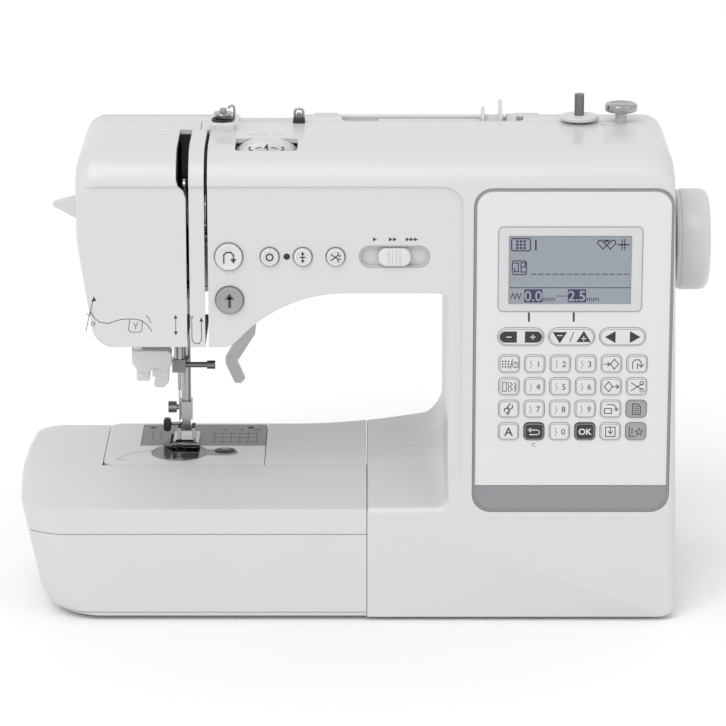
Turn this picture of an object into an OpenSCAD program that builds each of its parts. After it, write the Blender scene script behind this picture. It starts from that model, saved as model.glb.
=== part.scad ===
// Computerised free-arm sewing machine, built as an assembly of separate parts.
// Frame: +X to the handwheel side, +Y to the rear, +Z up. Origin under the middle of the machine.

/* [Overall] */
// Width over the bed extension and the handwheel
overall_w = 413; // [400:1:440]
// Depth over the keys and the rear cover
overall_d = 176; // [170:1:200]
// Height of the flat top of the arm
body_top = 285; // [278:1:300]
// Height of the body above the table
foot_h = 2.5; // [2:0.5:6]

/* [Housing] */
// Wall of the moulded housings
wall = 2.8; // [2:0.1:3.4]
// Gap between neighbouring covers
gap = 0.4; // [0.3:0.05:0.8]
// How far the arm's front face lies behind the column's
recess = 2; // [1:0.5:3]
// Height of the arm's underside
arm_under = 201; // [196:1:208]
// Height of the head's underside
head_under = 168.5; // [162:0.5:174]
// Left side of the column
column_left = 48.5; // [44:0.5:54]
// Right side of the column at the table
column_right = 185; // [182:0.5:190]
// Left side of the head
head_left = -168; // [-176:1:-164]
// Radius of the long rounding along the arm's top front edge
shoulder_r = 24; // [18:1:30]

/* [Bed] */
// Height of the bed
bed_h = 82; // [78:0.5:88]
// Front of the free arm
arm_front = -38.5; // [-42:0.5:-36]
// Rear of the free arm
arm_rear = 47.5; // [44:0.5:54]
// Left end of the free arm
arm_left = -158; // [-164:1:-152]
// Joint between the bed extension and the base
seam_x = 1; // [-6:1:8]
// Height of the bed extension's front edge
slope_z = 70; // [64:0.5:76]
// Height of the accessory door
door_h = 54; // [46:1:58]

/* [Control panel] */
// Width of the panel
panel_w = 116; // [110:1:118]
// Height of the panel
panel_h = 196; // [188:1:198]
// Radius of the panel's corners
panel_r = 11; // [8:0.5:14]
// Width of a small key
key_w = 12.4; // [10:0.2:13]
// Height of a small key
key_h = 11.1; // [9:0.1:12]
// Clearance around a key or button
key_gap = 0.3; // [0.2:0.05:0.5]
// How far a key stands out of the panel
key_proud = 1; // [0.6:0.1:1.4]

/* [Stitch drive] */
// Needle position across the bed
needle_x = -113.3; // [-116:0.1:-110]
// Needle position along the bed
needle_y = 3; // [0:0.5:6]
// Height of the main shaft and handwheel
shaft_z = 212; // [208:1:218]
// Radius of the main shaft
shaft_r = 4; // [3:0.25:5]
// Radius of the lower shaft
lower_shaft_r = 3.5; // [3:0.25:4.5]
// Running clearance of a shaft in its bush
run = 0.05; // [0.02:0.01:0.1]
// Radius of the handwheel
handwheel_r = 30.5; // [26:0.5:33]
// Radius of the shaft's belt pulley
pulley_r = 20; // [16:0.5:21]
// Radius of the motor's pulley
motor_pulley_r = 6; // [5:0.5:8]
// Radius of a bobbin
bobbin_r = 10.2; // [9:0.1:11]
// Height of a bobbin
bobbin_h = 11.5; // [9:0.1:12]
// Radius of the needle bar
needle_bar_r = 3.2; // [2.5:0.1:3.6]
// Radius of the presser bar
presser_bar_r = 3; // [2.5:0.1:3.4]

/* [Thread path] */
// Radius of the spool pin
spool_pin_r = 2.75; // [2:0.05:3.2]
// Radius of the bobbin winder's spindle
winder_r = 2.9; // [2.5:0.05:3.2]
// Radius of the tension dial
dial_r = 27; // [22:0.5:29]

/* [Hidden] */
$fn = 48;

front_y = -overall_d / 2 + key_proud;
rear_y = overall_d / 2;
bed_left = -overall_w / 2;
part_y = 0;                       // joint between the front and rear housings
arm_face = front_y + recess;      // front face of the arm and head
inner_y = arm_face + wall;        // inside of the arm's front wall
white = "#f4f4f2";
grey = "#8c8d90";
steel = "silver";
dark = "#3a3a3e";

// Outline helpers
function arc(c, r, a0, a1, n = 6) =
  [for (i = [0:n]) c + r * [cos(a0 + (a1 - a0) * i / n), sin(a0 + (a1 - a0) * i / n)]];
function round_rect(lo, hi, r, n = 5) = concat(
  arc([hi.x - r, hi.y - r], r, 0, 90, n), arc([lo.x + r, hi.y - r], r, 90, 180, n),
  arc([lo.x + r, lo.y + r], r, 180, 270, n), arc([hi.x - r, lo.y + r], r, 270, 360, n));

module box(lo, hi) translate(lo) cube(hi - lo);
module along_x(at, r, h) translate(at) rotate([0, 90, 0]) cylinder(r = r, h = h);
module along_y(at, r, h) translate(at) rotate([-90, 0, 0]) cylinder(r = r, h = h);
module upright(at, r, h) translate(at) cylinder(r = r, h = h);
// Extrudes a drawing of the front view from y0 back to y1
module front_view(y0, y1) translate([0, y1, 0]) rotate([90, 0, 0]) linear_extrude(y1 - y0) children();
// Extrudes a drawing of the side view, y across and z up, from x0 to x1
module side_view(x0, x1) translate([x0, 0, 0]) rotate([90, 0, 90]) linear_extrude(x1 - x0) children();
// Extrudes a drawing of the plan from z0 to z1
module plan_view(z0, z1) translate([0, 0, z0]) linear_extrude(z1 - z0) children();

// ---------------------------------------------------------------- body shape
head_r = 16;
throat_r = 84;                    // large sweep where the arm meets the head
throat_x = -11.5;                 // where that sweep becomes level
neck_r = 9;
neck_x = throat_x - throat_r * sin(45) - (arm_under - throat_r * (1 - cos(45)) - head_under)
  + neck_r * (1 - 2 * cos(45));
column_top = column_right - 5.5;  // the column narrows a little towards its top
chin_r = 11;
trough = [[-14, 1.5], [95, 41]];  // recess for the reel, in plan
trough_z = body_top - 24;
deck = [[-34.5, 43], [109.5, rear_y + 5]]; // lowered deck behind it for the handle
deck_z = body_top - 26;
dip = [[-76, -4], [-42, 60]];     // dip behind the tension dial, for the thread
dip_z = body_top - 9;

function body_outline() = concat(
  [[column_left, foot_h]],
  arc([column_right - 6, foot_h + 6], 6, 270, 360),
  arc([column_top - 18, body_top - 18], 18, 0, 90, 8),
  arc([head_left + head_r, body_top - head_r], head_r, 90, 180, 8),
  [[head_left, body_top - 53]],
  arc([head_left + chin_r + 8, head_under + chin_r], chin_r, 187, 270),
  arc([neck_x, head_under + neck_r], neck_r, 270, 315, 4),
  arc([throat_x, arm_under - throat_r], throat_r, 135, 90, 10),
  arc([column_left - 7, arm_under - 7], 7, 90, 0));
function body_section() = concat(
  [[front_y, foot_h], [rear_y, foot_h]],
  arc([rear_y - 22, body_top - 36], 22, 0, 75, 8),
  [[20, body_top]],
  arc([front_y + shoulder_r, body_top - shoulder_r], shoulder_r, 90, 180, 10));
// Plan of the free arm and the neck that widens into the base
function bed_plan() = concat(
  arc([arm_left + 8, arm_front + 8], 8, 180, 270, 4),
  [[seam_x, arm_front], [seam_x, front_y], [column_left + 20, front_y], [column_left + 20, rear_y - 8]],
  [for (t = [1:-0.1:0]) [-40 + (column_left + 40) * t, arm_rear + (rear_y - 8 - arm_rear) * pow(t, 1.8)]],
  arc([arm_left + 8, arm_rear - 8], 8, 90, 180, 4));

module slope_cut(x0, x1, down = 0)
  side_view(x0, x1) polygon([[front_y - 1, slope_z - down - 0.25], [arm_front, bed_h - down],
    [arm_front, bed_h + 9], [front_y - 1, bed_h + 9]]);

module body_solid(inset = 0) {
  difference() {
    intersection() {
      front_view(-120, 120) offset(delta = -inset) polygon(body_outline());
      side_view(-240, 240) offset(delta = -inset) polygon(body_section());
    }
    // recessed face of the arm, the reel's trough, the handle's deck and the thread's dip
    front_view(front_y - 1, arm_face + inset)
      polygon(round_rect([head_left - 5, bed_h + 2], [column_left + 5 + inset, body_top - 21 + inset], 9));
    plan_view(trough_z - inset, body_top + 9)
      polygon(round_rect(trough[0] - [inset, inset], trough[1] + [inset, inset + 1], 4));
    plan_view(deck_z - inset, body_top + 9)
      polygon(round_rect(deck[0] - [inset, inset], deck[1] + [inset, 0], 4));
    plan_view(dip_z - inset, body_top + 9)
      polygon(round_rect(dip[0] - [inset, inset], dip[1] + [inset, inset], 6));
  }
  difference() {
    plan_view(foot_h, bed_h - inset) offset(delta = -inset) polygon(bed_plan());
    slope_cut(seam_x - 1, column_left + 21, inset);
  }
}

module body_shell() difference() {
  body_solid();
  body_solid(wall);
  plan_view(foot_h - 1, foot_h + wall + 1) offset(delta = -wall) {
    polygon(bed_plan());
    translate([column_left, front_y]) square([column_right - column_left, rear_y - front_y]);
  }
}

// Where the covers of the head part, in the front view
slot_left = needle_x + 3.8;       // wide thread slot, for the take-up lever
slot_neck = needle_x + 9.3;       // narrow thread slot below it
strip_x = [needle_x + 11.1, needle_x + 19.9];
slot_right = needle_x + 21.9;     // right edge of the second slot
slot_end_y = -22;                 // both slots end on the top here
above = 100;                      // a height between the bed and the head

screw_at = [[-140, 180], [-60, 214], [40, 214], [60, 40], [176, 30], [172, 262]];
module housing_screw_seats()
  for (p = screw_at) along_y([p.x, rear_y - 8, p.y], 3.2, 10);

// ---------------------------------------------------------------- control positions
button_z = arm_under + 22.5;
reverse_at = [-79.3, button_z];
start_at = [-79, button_z - 26];
reinforce_at = [-55.5, button_z];
needle_up_at = [-36.3, button_z];
cutter_at = [-17.2, button_z];
big_r = 7.9;
small_r = 5.2;
slider_at = [17, button_z];
slider_half = 14;                 // half the distance between the slot's end centres
slider_slot_r = 5.8;
slider_travel = 10;

panel_lo = [column_left + 14.6, slope_z - 1.6];
panel_hi = panel_lo + [panel_w, panel_h];
ring = 2.4;
strip_h = 14;                     // silver strip along the panel's foot
face_lo = panel_lo + [ring, ring + strip_h];
face_hi = panel_hi - [ring, ring];
screen_lo = [panel_lo.x + 20.2, panel_hi.y - 69];
screen_hi = screen_lo + [71.4, 41];
key_x = panel_lo.x + 14.9;
key_pitch = [14.95, 13.75];
key_top = panel_lo.y + 96.5;      // top of the first row of small keys
pill_w = 26.8;
pill_h = 10.6;
pill_pitch = 29.7;
pill_z = key_top + 5.6;
panel_back = front_y + 2.6;       // floor of the panel's seat

function key_lo(c, r) = [key_x + key_pitch.x * c, key_top - key_h - key_pitch.y * r];
module key_shape(c, r, grow = 0)
  polygon(round_rect(key_lo(c, r) - [grow, grow], key_lo(c, r) + [key_w, key_h] + [grow, grow], 2.6, 4));
module pill_shape(c, grow = 0)
  polygon(round_rect([key_x - 0.6 + pill_pitch * c - grow, pill_z - grow],
    [key_x - 0.6 + pill_pitch * c + pill_w + grow, pill_z + pill_h + grow], pill_h / 2 + grow - 0.01, 8));

module slider_slot(r) {
  for (s = [-1, 1]) along_y([slider_at.x + s * slider_half, arm_face - 3, slider_at.y], r, 9);
  box([slider_at.x - slider_half, arm_face - 3, slider_at.y - r],
    [slider_at.x + slider_half, arm_face + 6, slider_at.y + r]);
}

// ---------------------------------------------------------------- housings
module front_housing() color(white) difference() {
  intersection() {
    body_shell();
    union() {
      box([slot_right, front_y - 2, above], [220, slot_end_y, 320]);
      box([strip_x[0] + 5, slot_end_y - 0.1, above], [220, part_y - gap / 2, 320]);
      box([seam_x + gap / 2, front_y - 2, 0], [220, part_y - gap / 2, above + 1]);
    }
  }
  head_floor_cut();
  // seat and window of the panel
  front_view(front_y - 2, panel_back)
    polygon(round_rect(panel_lo - [gap, gap] / 2, panel_hi + [gap, gap] / 2, panel_r));
  front_view(front_y - 2, front_y + 20) polygon(round_rect(panel_lo + [6, 6], panel_hi - [6, 6], 6));
  for (p = [reverse_at, start_at]) along_y([p.x, front_y - 1, p.y], big_r + key_gap, 12);
  for (p = [reinforce_at, needle_up_at, cutter_at]) along_y([p.x, front_y - 1, p.y], small_r + key_gap, 12);
  along_y([reinforce_at.x + 9.9, front_y - 1, button_z], 1.5, 12);
  slider_slot(slider_slot_r);
  box([dial_x - 18.2, dial_y - 11.5, body_top - 14], [dial_x + 18.2, dial_y + 14, body_top + 5]);
  wheel_hole();
  // right wall: power switch
  box([column_right - 9, switch_y - 10.3, switch_z - 7.3],
    [column_right + 5, switch_y + 10.3, switch_z + 7.3]);
  for (p = winder_holes) upright([p.x, p.y, body_top - 9], p[2], 12);
}

module wheel_hole() along_x([column_right - 20, needle_y, shaft_z], 15.5, 40);

module rear_housing() color(white) difference() {
  union() {
    intersection() {
      body_shell();
      union() {
        box([-230, part_y + gap / 2, above], [220, rear_y + 1, 320]);
        box([seam_x + gap / 2, part_y + gap / 2, 0], [220, rear_y + 1, above + 1]);
      }
    }
    pin_cheeks();
  }
  head_floor_cut();
  wheel_hole();
  // vents of the rear wall
  for (i = [0:7]) box([118 + 6 * i, rear_y - 6, 108], [121 + 6 * i, rear_y + 1, 140]);
  // slot of the presser lifter, inlets and the handle's bearings
  box([lifter_at.x - 9, lifter_y - 1, head_under - 5],
    [lifter_at.x + 22, lifter_y + lifter_t + 1, lifter_at.y + 6]);
  along_x([deck[0].x - 20, pivot_y, pivot_z], handle_pin_r + run, deck[1].x - deck[0].x + 40);
  box([column_right - 9, inlet_y - 12.3, inlet_z - 9.3], [column_right + 5, inlet_y + 12.3, inlet_z + 9.3]);
  box([column_right - 9, inlet_y - 6.3, inlet_z + 13.7], [column_right + 5, inlet_y + 6.3, inlet_z + 26.3]);
  for (p = winder_holes) upright([p.x, p.y, body_top - 9], p[2], 12);
  housing_screw_seats();
}

module face_cover() color(white) difference() {
  intersection() {
    body_shell();
    union() {
      front_view(front_y - 2, slot_end_y)
        polygon([[-230, above], [slot_neck, above], [slot_neck, body_top - 26],
          [slot_left, body_top - 17], [slot_left, 320], [-230, 320]]);
      box([-230, slot_end_y - 0.1, above], [strip_x[0] + 5 - gap, part_y - gap / 2, 320]);
    }
  }
  head_floor_cut();
  box([head_left - 5, lever_y - 3.6, lever_z - 34], [head_left + 14, lever_y + 3.6, lever_z + 7]);
}

module thread_guide_strip() color(white) difference() {
  intersection() {
    body_shell();
    box([strip_x[0], front_y - 2, above], [strip_x[1], slot_end_y - gap, 320]);
  }
  head_floor_cut();
}

// Opening in the head's floor for the bars and levers
module head_floor_cut()
  box([needle_x - 36, needle_y - 24, head_under - 5], [needle_x + 33, needle_y + 40, head_under + 5.5]);

module base_plate() color("#d9d9d6") difference() {
  plan_view(foot_h + 0.2, foot_h + 3) offset(delta = -wall - gap) {
    polygon(bed_plan());
    translate([column_left, front_y]) square([column_right - column_left, rear_y - front_y]);
  }
  for (p = foot_at) upright([p.x, p.y, -1], 4.2, foot_h + 6);
}

foot_at = [[arm_left + 22, arm_front + 14], [arm_left + 22, arm_rear - 14], [column_right - 18, front_y + 18],
  [column_right - 18, rear_y - 18], [seam_x + 16, front_y + 18]];
module rubber_feet() color(dark) for (p = foot_at) {
  upright([p.x, p.y, 0], 8, foot_h - 0.1);
  upright([p.x, p.y, foot_h - 0.2], 4, 3.6);
}

module free_arm_shell() color(white) difference() {
  intersection() {
    body_shell();
    box([-230, -120, 0], [seam_x - gap / 2, 120, above]);
  }
  box([arm_left - 2, arm_front - 2, bed_h - wall - 0.1], [cover_right, arm_rear + 2, bed_h + 2]);
}

// ---------------------------------------------------------------- needle plate area
cover_right = needle_x + 52.8;
plate_lo = [needle_x - 24.2, needle_y - 2];
plate_hi = [needle_x + 52.4, arm_rear - 2.9];
hook_at = [needle_x + 0.5, needle_y - 16];
hook_pin_r = 3;
plate_t = 1.2;
module bobbin_door_shape(grow = 0) {
  translate(hook_at) circle(r = 17 + grow);
  translate(hook_at + [0, -6 - grow]) square([29 + grow, 12 + 2 * grow]);
  translate(hook_at + [29, 0]) circle(r = 6 + grow);
}
module plate_cover() color(white) difference() {
  plan_view(bed_h - wall, bed_h)
    polygon(concat(arc([arm_left + 8, arm_front + 8], 8, 180, 270, 4),
      [[cover_right - gap, arm_front], [cover_right - gap, arm_rear]],
      arc([arm_left + 8, arm_rear - 8], 8, 90, 180, 4)));
  plan_view(bed_h - plate_t - 0.1, bed_h + 1) {
    translate(plate_lo - [0.2, 0.2]) square(plate_hi - plate_lo + [0.4, 0.4]);
    translate([needle_x, needle_y - 2]) circle(r = 9.2);
  }
  plan_view(bed_h - 2.1, bed_h + 1) bobbin_door_shape(0.25);
  upright([hook_at.x, hook_at.y, bed_h - 9], 16, 12);
  box([needle_x - 10, needle_y - 6, bed_h - 9], [needle_x + 12, needle_y + 26, bed_h + 2]);
}
feed_slots = [-6.2, -1.8, 7];     // places of the feed slots beside the needle
module needle_plate() color("#9a9a9c") difference() {
  plan_view(bed_h - plate_t, bed_h + 0.05) {
    translate(plate_lo) square(plate_hi - plate_lo);
    difference() {
      translate([needle_x, needle_y - 2]) circle(r = 9);
      translate(hook_at) circle(r = 17.5);
    }
  }
  box([needle_x - 1, needle_y - 1.1, bed_h - 5], [needle_x + 7.5, needle_y + 1.1, bed_h + 5]);
  for (s = feed_slots)
    box([needle_x + s - 0.2, needle_y + 2, bed_h - 5], [needle_x + s + 3.4, needle_y + 22, bed_h + 5]);
  for (p = [[plate_hi.x - 10, plate_hi.y - 6], [plate_lo.x + 6, plate_hi.y - 6]])
    upright([p.x, p.y, bed_h - 4], 2, 6);
}
module bobbin_cover() color("#d8dde0", 0.4) difference() {
  plan_view(bed_h - 2, bed_h - 0.2) bobbin_door_shape();
  translate([needle_x, needle_y - 2, bed_h - 4]) cylinder(r = 9.4, h = 6);
  box([presser_x - 8.7, presser_y - 23.4, bed_h - 4], [presser_x + 8.7, presser_y, bed_h + 2]);
}
module bobbin_case() color(dark) difference() {
  upright([hook_at.x, hook_at.y, bed_h - 17], bobbin_r + 3, 14);
  upright([hook_at.x, hook_at.y, bed_h - 15.6], bobbin_r + 1, 14);
}
module bobbin() color("#e8e8ea") {
  difference() {
    union() {
      for (z = [0, bobbin_h - 1]) upright([hook_at.x, hook_at.y, bed_h - 15.4 + z], bobbin_r, 1);
      upright([hook_at.x, hook_at.y, bed_h - 15.4], 4.6, bobbin_h);
    }
    upright([hook_at.x, hook_at.y, bed_h - 20], 3, 30);
  }
}
module rotary_hook() color(steel) {
  difference() {
    upright([hook_at.x, hook_at.y, bed_h - 21], 14.8, 15);
    upright([hook_at.x, hook_at.y, bed_h - 18.4], bobbin_r + 3.4, 14);
    translate([hook_at.x, hook_at.y - 9, bed_h - 11]) cube([16, 9, 8]);
  }
  upright([hook_at.x, hook_at.y, bed_h - 43], hook_pin_r, 23);
  upright([hook_at.x, hook_at.y, bed_h - 42], hook_gear_r, 6);
}
module feed_dogs() color(steel) {
  for (s = feed_slots) {
    box([needle_x + s + 0.3, needle_y + 4.8, bed_h - 6.5],
      [needle_x + s + 2.9, needle_y + 19.2, bed_h + 0.2]);
    for (k = [0:8])
      side_view(needle_x + s + 0.3, needle_x + s + 2.9)
        polygon([[needle_y + 5 + 1.5 * k, bed_h], [needle_y + 6.4 + 1.5 * k, bed_h],
          [needle_y + 6 + 1.5 * k, bed_h + 0.9]]);
  }
  box([needle_x - 7.4, needle_y + 5.2, bed_h - 9], [needle_x + 11.6, needle_y + 18.8, bed_h - 6]);
}

// ---------------------------------------------------------------- frame and drive
frame_y = [26, 33];
lower_y = needle_y + 4;
hook_gear_r = 6;
lower_z = bed_h - 46 - hook_gear_r;
lower_gear_r = 2 * hook_gear_r;
bush_x = [-84, 20, 150];
lower_bush_x = [-84, 60];
lower_end = 146;
belt_x = 132;                     // plane of the timing belt
drive_x = 164;                    // plane of the motor's belt
motor_at = [needle_y - 46, 112];  // motor axis, y and z
bush_t = 2;
boss_r = shaft_z - arm_under - wall - 0.4;   // bosses clear the arm's lower skin

module cast_frame() color("#b4b6b8") difference() {
  union() {
    front_view(frame_y[0], frame_y[1]) difference() {
      offset(delta = -wall - 5) polygon(body_outline());
      translate([80, 90]) square([70, 100]);
    }
    box([arm_left + 8, frame_y[0], foot_h + 8], [column_left + 30, frame_y[1], bed_h - 22]);
    for (x = bush_x) {
      along_x([x - 5, needle_y, shaft_z], boss_r, 10);
      box([x - 5, needle_y, shaft_z - 5], [x + 5, frame_y[1], shaft_z + 5]);
    }
    for (x = lower_bush_x) {
      along_x([x - 5, lower_y, lower_z], lower_shaft_r + 6, 10);
      box([x - 5, lower_y, lower_z - 4], [x + 5, frame_y[1], lower_z + 4]);
    }
    // guides of the needle bar and the presser bar
    for (z = [head_under + 8, shaft_z + 21])
      box([needle_x - 8, needle_y - 7, z], [presser_x + 8, frame_y[0] + 2, z + 6]);
    // guide of the buttonhole lever, bearing of the hook and pivot of the take-up lever
    box([threader_x - 6, needle_y + 10, head_under + 11], [threader_x + 6, frame_y[0] + 1, head_under + 17]);
    box([hook_at.x - 7, hook_at.y - 7, bed_h - 34], [hook_at.x + 7, frame_y[0] + 1, bed_h - 27]);
    box([needle_x + 8.8, crown_y - 4, crown_z - 3], [needle_x + 13, frame_y[0] + 1, crown_z + 5]);
    along_x([needle_x + 6.5, crown_y, crown_z], 2.9, 3);
    along_y([lifter_at.x, frame_y[0], lifter_at.y], 6.5, frame_y[1] - frame_y[0]);
  }
  for (x = bush_x) along_x([x - 6, needle_y, shaft_z], shaft_r + bush_t, 12);
  for (x = lower_bush_x) along_x([x - 6, lower_y, lower_z], lower_shaft_r + bush_t, 12);
  upright([needle_x, needle_y, head_under - 20], needle_bar_r + run, 120);
  upright([presser_x, presser_y, head_under - 20], presser_bar_r + run, 120);
  upright([hook_at.x, hook_at.y, bed_h - 36], hook_pin_r + run, 12);
  along_y([lifter_at.x, frame_y[0] - 1, lifter_at.y], lifter_pin_r + run, 12);
  // room for the power inlet
  box([column_right - 22, frame_y[0] - 1, foot_h], [column_right, frame_y[1] + 1, inlet_z + 30]);
  box([threader_x - 2.4, needle_y + 13.6, head_under + 10],
    [threader_x + 2.4, needle_y + 18.4, head_under + 18]);
  for (p = deck_pockets) box(p[0], p[1]);
}
deck_pockets = [
  [[trough[0].x - wall - 2, frame_y[0] - 1, trough_z - wall - 6],
    [trough[1].x + wall + 2, frame_y[1] + 1, 300]],
  [[deck[0].x - wall - 2, frame_y[0] - 1, deck_z - wall - 6], [deck[1].x + wall + 2, frame_y[1] + 1, 300]],
  [[dip[0].x - wall - 2, frame_y[0] - 1, dip_z - wall - 4], [dip[1].x + wall + 2, frame_y[1] + 1, 300]]];

module shaft_bushes() color("#b08d57") {
  for (x = bush_x) difference() {
    along_x([x - 6.5, needle_y, shaft_z], shaft_r + bush_t, 13);
    along_x([x - 7, needle_y, shaft_z], shaft_r + run, 14);
  }
  for (x = lower_bush_x) difference() {
    along_x([x - 6.5, lower_y, lower_z], lower_shaft_r + bush_t, 13);
    along_x([x - 7, lower_y, lower_z], lower_shaft_r + run, 14);
  }
}

crank_x = needle_x + 7.3;         // left face of the crank
crank_r = 15;                     // half the needle bar's stroke
module main_shaft() color(steel) {
  along_x([crank_x + 3, needle_y, shaft_z], shaft_r, column_right + 6 - crank_x - 3);
  along_x([crank_x, needle_y, shaft_z], crank_r + 4, 5.5);
  along_x([crank_x - 0.3, needle_y, shaft_z + crank_r], 2.4, 1);
  along_x([belt_x - 5, needle_y, shaft_z], 11, 10);
  along_x([drive_x - 4, needle_y, shaft_z], pulley_r, 8);
}
module handwheel() color(white) difference() {
  union() {
    translate([column_right - 1.5, needle_y, shaft_z]) rotate([0, 90, 0]) {
      cylinder(r = 13, h = 4);
      translate([0, 0, 1.6]) cylinder(r = handwheel_r - 0.6, h = 3);
      translate([0, 0, 4.2]) cylinder(r = handwheel_r, h = overall_w / 2 - column_right - 7.5);
      translate([0, 0, overall_w / 2 - column_right - 3.3])
        cylinder(r1 = handwheel_r, r2 = handwheel_r - 4, h = 4.8);
    }
  }
  along_x([column_right - 3, needle_y, shaft_z], shaft_r + 0.02, 9.05);
}
module lower_shaft() color(steel) {
  along_x([hook_at.x + hook_gear_r + 3, lower_y, lower_z], lower_shaft_r,
    lower_end - hook_at.x - hook_gear_r - 3);
  along_x([hook_at.x + hook_gear_r + 2, lower_y, lower_z], lower_gear_r, 6);
  along_x([belt_x - 5, lower_y, lower_z], 11, 10);
}
// One closed belt round two pulleys of the side view
module belt(x0, x1, a, ra, b, rb, t) side_view(x0, x1) difference() {
  hull() { translate(a) circle(r = ra + t, $fn = 32); translate(b) circle(r = rb + t, $fn = 32); }
  hull() { translate(a) circle(r = ra, $fn = 32); translate(b) circle(r = rb, $fn = 32); }
}
module drive_belts() color(dark) {
  belt(belt_x - 4, belt_x + 4, [needle_y, shaft_z], 11.4, [lower_y, lower_z], 11.4, 1.4);
  belt(drive_x - 3, drive_x + 3, [needle_y, shaft_z], pulley_r + 0.4, motor_at, motor_pulley_r + 0.4, 1.4);
}
module main_motor() color("#6d6f73") {
  difference() {
    along_x([96, motor_at.x, motor_at.y], 20, 52);
    along_x([94, motor_at.x, motor_at.y], 3.3, 60);
  }
  difference() {
    box([146, motor_at.x - 24, motor_at.y - 24], [149, frame_y[0], motor_at.y + 24]);
    along_x([140, motor_at.x, motor_at.y], 10, 20);
  }
}
module motor_pulley() color(steel) {
  along_x([98, motor_at.x, motor_at.y], 3, drive_x + 5 - 98);
  along_x([drive_x - 4.5, motor_at.x, motor_at.y], motor_pulley_r, 9);
}
module stepping_motors() color("#55575b") {
  box([-66, 36, shaft_z + 2], [-26, rear_y - wall - 12, shaft_z + 40]);
  along_x([-74, 52, shaft_z + 20], 3, 9);
  box([-46, 34, foot_h + 10], [-12, arm_rear - wall - 1, foot_h + 44]);
}
module circuit_boards() color("#2f6b45") {
  box([panel_lo.x + 9, front_y + 9, panel_lo.y + 10], [panel_hi.x - 9, front_y + 10.6, panel_hi.y - 10]);
  box([56, 52, 14], [172, 53.6, 84]);
  box([112, 54, 20], [150, 74, 52]);
  // boards of the buttons, the lamp and the switch
  box([reverse_at.x - 10, front_y + 11, button_z - 7], [slider_at.x + 26, front_y + 12.6, button_z + 12]);
  box([start_at.x - 8, front_y + 11, start_at.y - 8], [start_at.x + 9, front_y + 12.6, button_z - 6]);
  box([needle_x - 30, needle_y - 15, head_under + 6], [needle_x - 12, needle_y + 3, head_under + 7.6]);
  box([column_right - 18, switch_y - 10, switch_z - 7], [column_right - 9.7, switch_y + 10, switch_z + 7]);
}
disc_gap_x = slot_right - 1;       // the thread runs down between the discs here
module tension_discs() color(steel) {
  along_x([disc_gap_x - 2.5, -62, shaft_z + 34], 9.5, 2.2);
  along_x([disc_gap_x + 0.3, -62, shaft_z + 34], 9.5, 2.2);
  along_x([disc_gap_x - 4.5, -62, shaft_z + 34], 2.4, 12);
}
crown_y = -26;                    // pivot of the take-up lever
crown_z = shaft_z + 22;
take_up_r = 42;                   // from the pivot to the thread eye
take_up_a = 142;                  // its direction with the lever at rest
eye = take_up_r * [cos(take_up_a), sin(take_up_a)];
module take_up_lever() color(steel) translate([needle_x + 6.5, crown_y, crown_z]) difference() {
  union() {
    along_x([0, 0, 0], 7, 2);
    rotate([take_up_a, 0, 0]) translate([0, 0, -2.5]) cube([2, take_up_r, 5]);
    along_x([0, eye.x, eye.y], 4, 2);
  }
  along_x([-1, eye.x, eye.y], 1.6, 4);
  along_x([-1, 0, 0], 2.9 + run, 4);
}

// ---------------------------------------------------------------- needle and presser
clamp_z = bed_h + 47;             // underside of the needle clamp with the needle up
presser_x = needle_x + 3.7;
presser_y = needle_y + 9;
module needle_bar() color(steel) {
  upright([needle_x, needle_y, clamp_z + 2], needle_bar_r, body_top - 15 - clamp_z);
  // link to the crank, open at the crank's pin
  difference() {
    union() {
      along_x([needle_x + 3.3, needle_y, shaft_z + crank_r], 4.6, 2.4);
      box([needle_x + 3.3, needle_y - 2.4, shaft_z + 5], [needle_x + 5.7, needle_y + 2.4, shaft_z + crank_r]);
      box([needle_x - 5, needle_y - 5, shaft_z + 3], [needle_x + 5.7, needle_y + 5, shaft_z + 11]);
    }
    along_x([needle_x + 2, needle_y, shaft_z + crank_r], 2.6, 6);
  }
}
module needle_clamp() color("#77787a") {
  difference() {
    box([needle_x - 4, needle_y - 3.8, clamp_z], [needle_x + 4, needle_y + 3.8, clamp_z + 8]);
    upright([needle_x, needle_y, clamp_z + 1.8], needle_bar_r + 0.01, 9);
    upright([needle_x, needle_y, clamp_z - 1], 1.05, 4);
  }
  along_x([needle_x + 4, needle_y, clamp_z + 4], 1.7, 14);
  along_x([needle_x + 17, needle_y, clamp_z + 4], 2.6, 5);
}
module needle() color(steel) {
  upright([needle_x, needle_y, clamp_z - 12], 1, 13.8);
  upright([needle_x, needle_y, clamp_z - 30], 0.45, 18.2);
  translate([needle_x, needle_y, clamp_z - 33]) cylinder(r1 = 0.08, r2 = 0.45, h = 3.1);
}
foot_z = bed_h + 1.1;             // underside of the presser foot when lowered
ankle_z = foot_z + 7;
module presser_bar() color(steel) {
  upright([presser_x, presser_y, bed_h + 17], presser_bar_r, shaft_z + 32 - bed_h - 17);
  // shank with its thumb screw, clamped on the bar
  difference() {
    box([presser_x - 3.9, presser_y - 4.8, bed_h + 15], [presser_x + 3.9, presser_y + 4.6, bed_h + 26]);
    upright([presser_x, presser_y, bed_h + 17], presser_bar_r, 12);
  }
  along_x([presser_x - 11, presser_y, bed_h + 21.5], 3.3, 5.2);
  along_x([presser_x - 6, presser_y, bed_h + 21.5], 1.6, 3);
  box([presser_x - 2.6, presser_y - 3, ankle_z - 1], [presser_x + 2.6, presser_y + 3.6, bed_h + 15.5]);
  along_x([presser_x - 6, presser_y, ankle_z], 1.2, 12);
}
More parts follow.
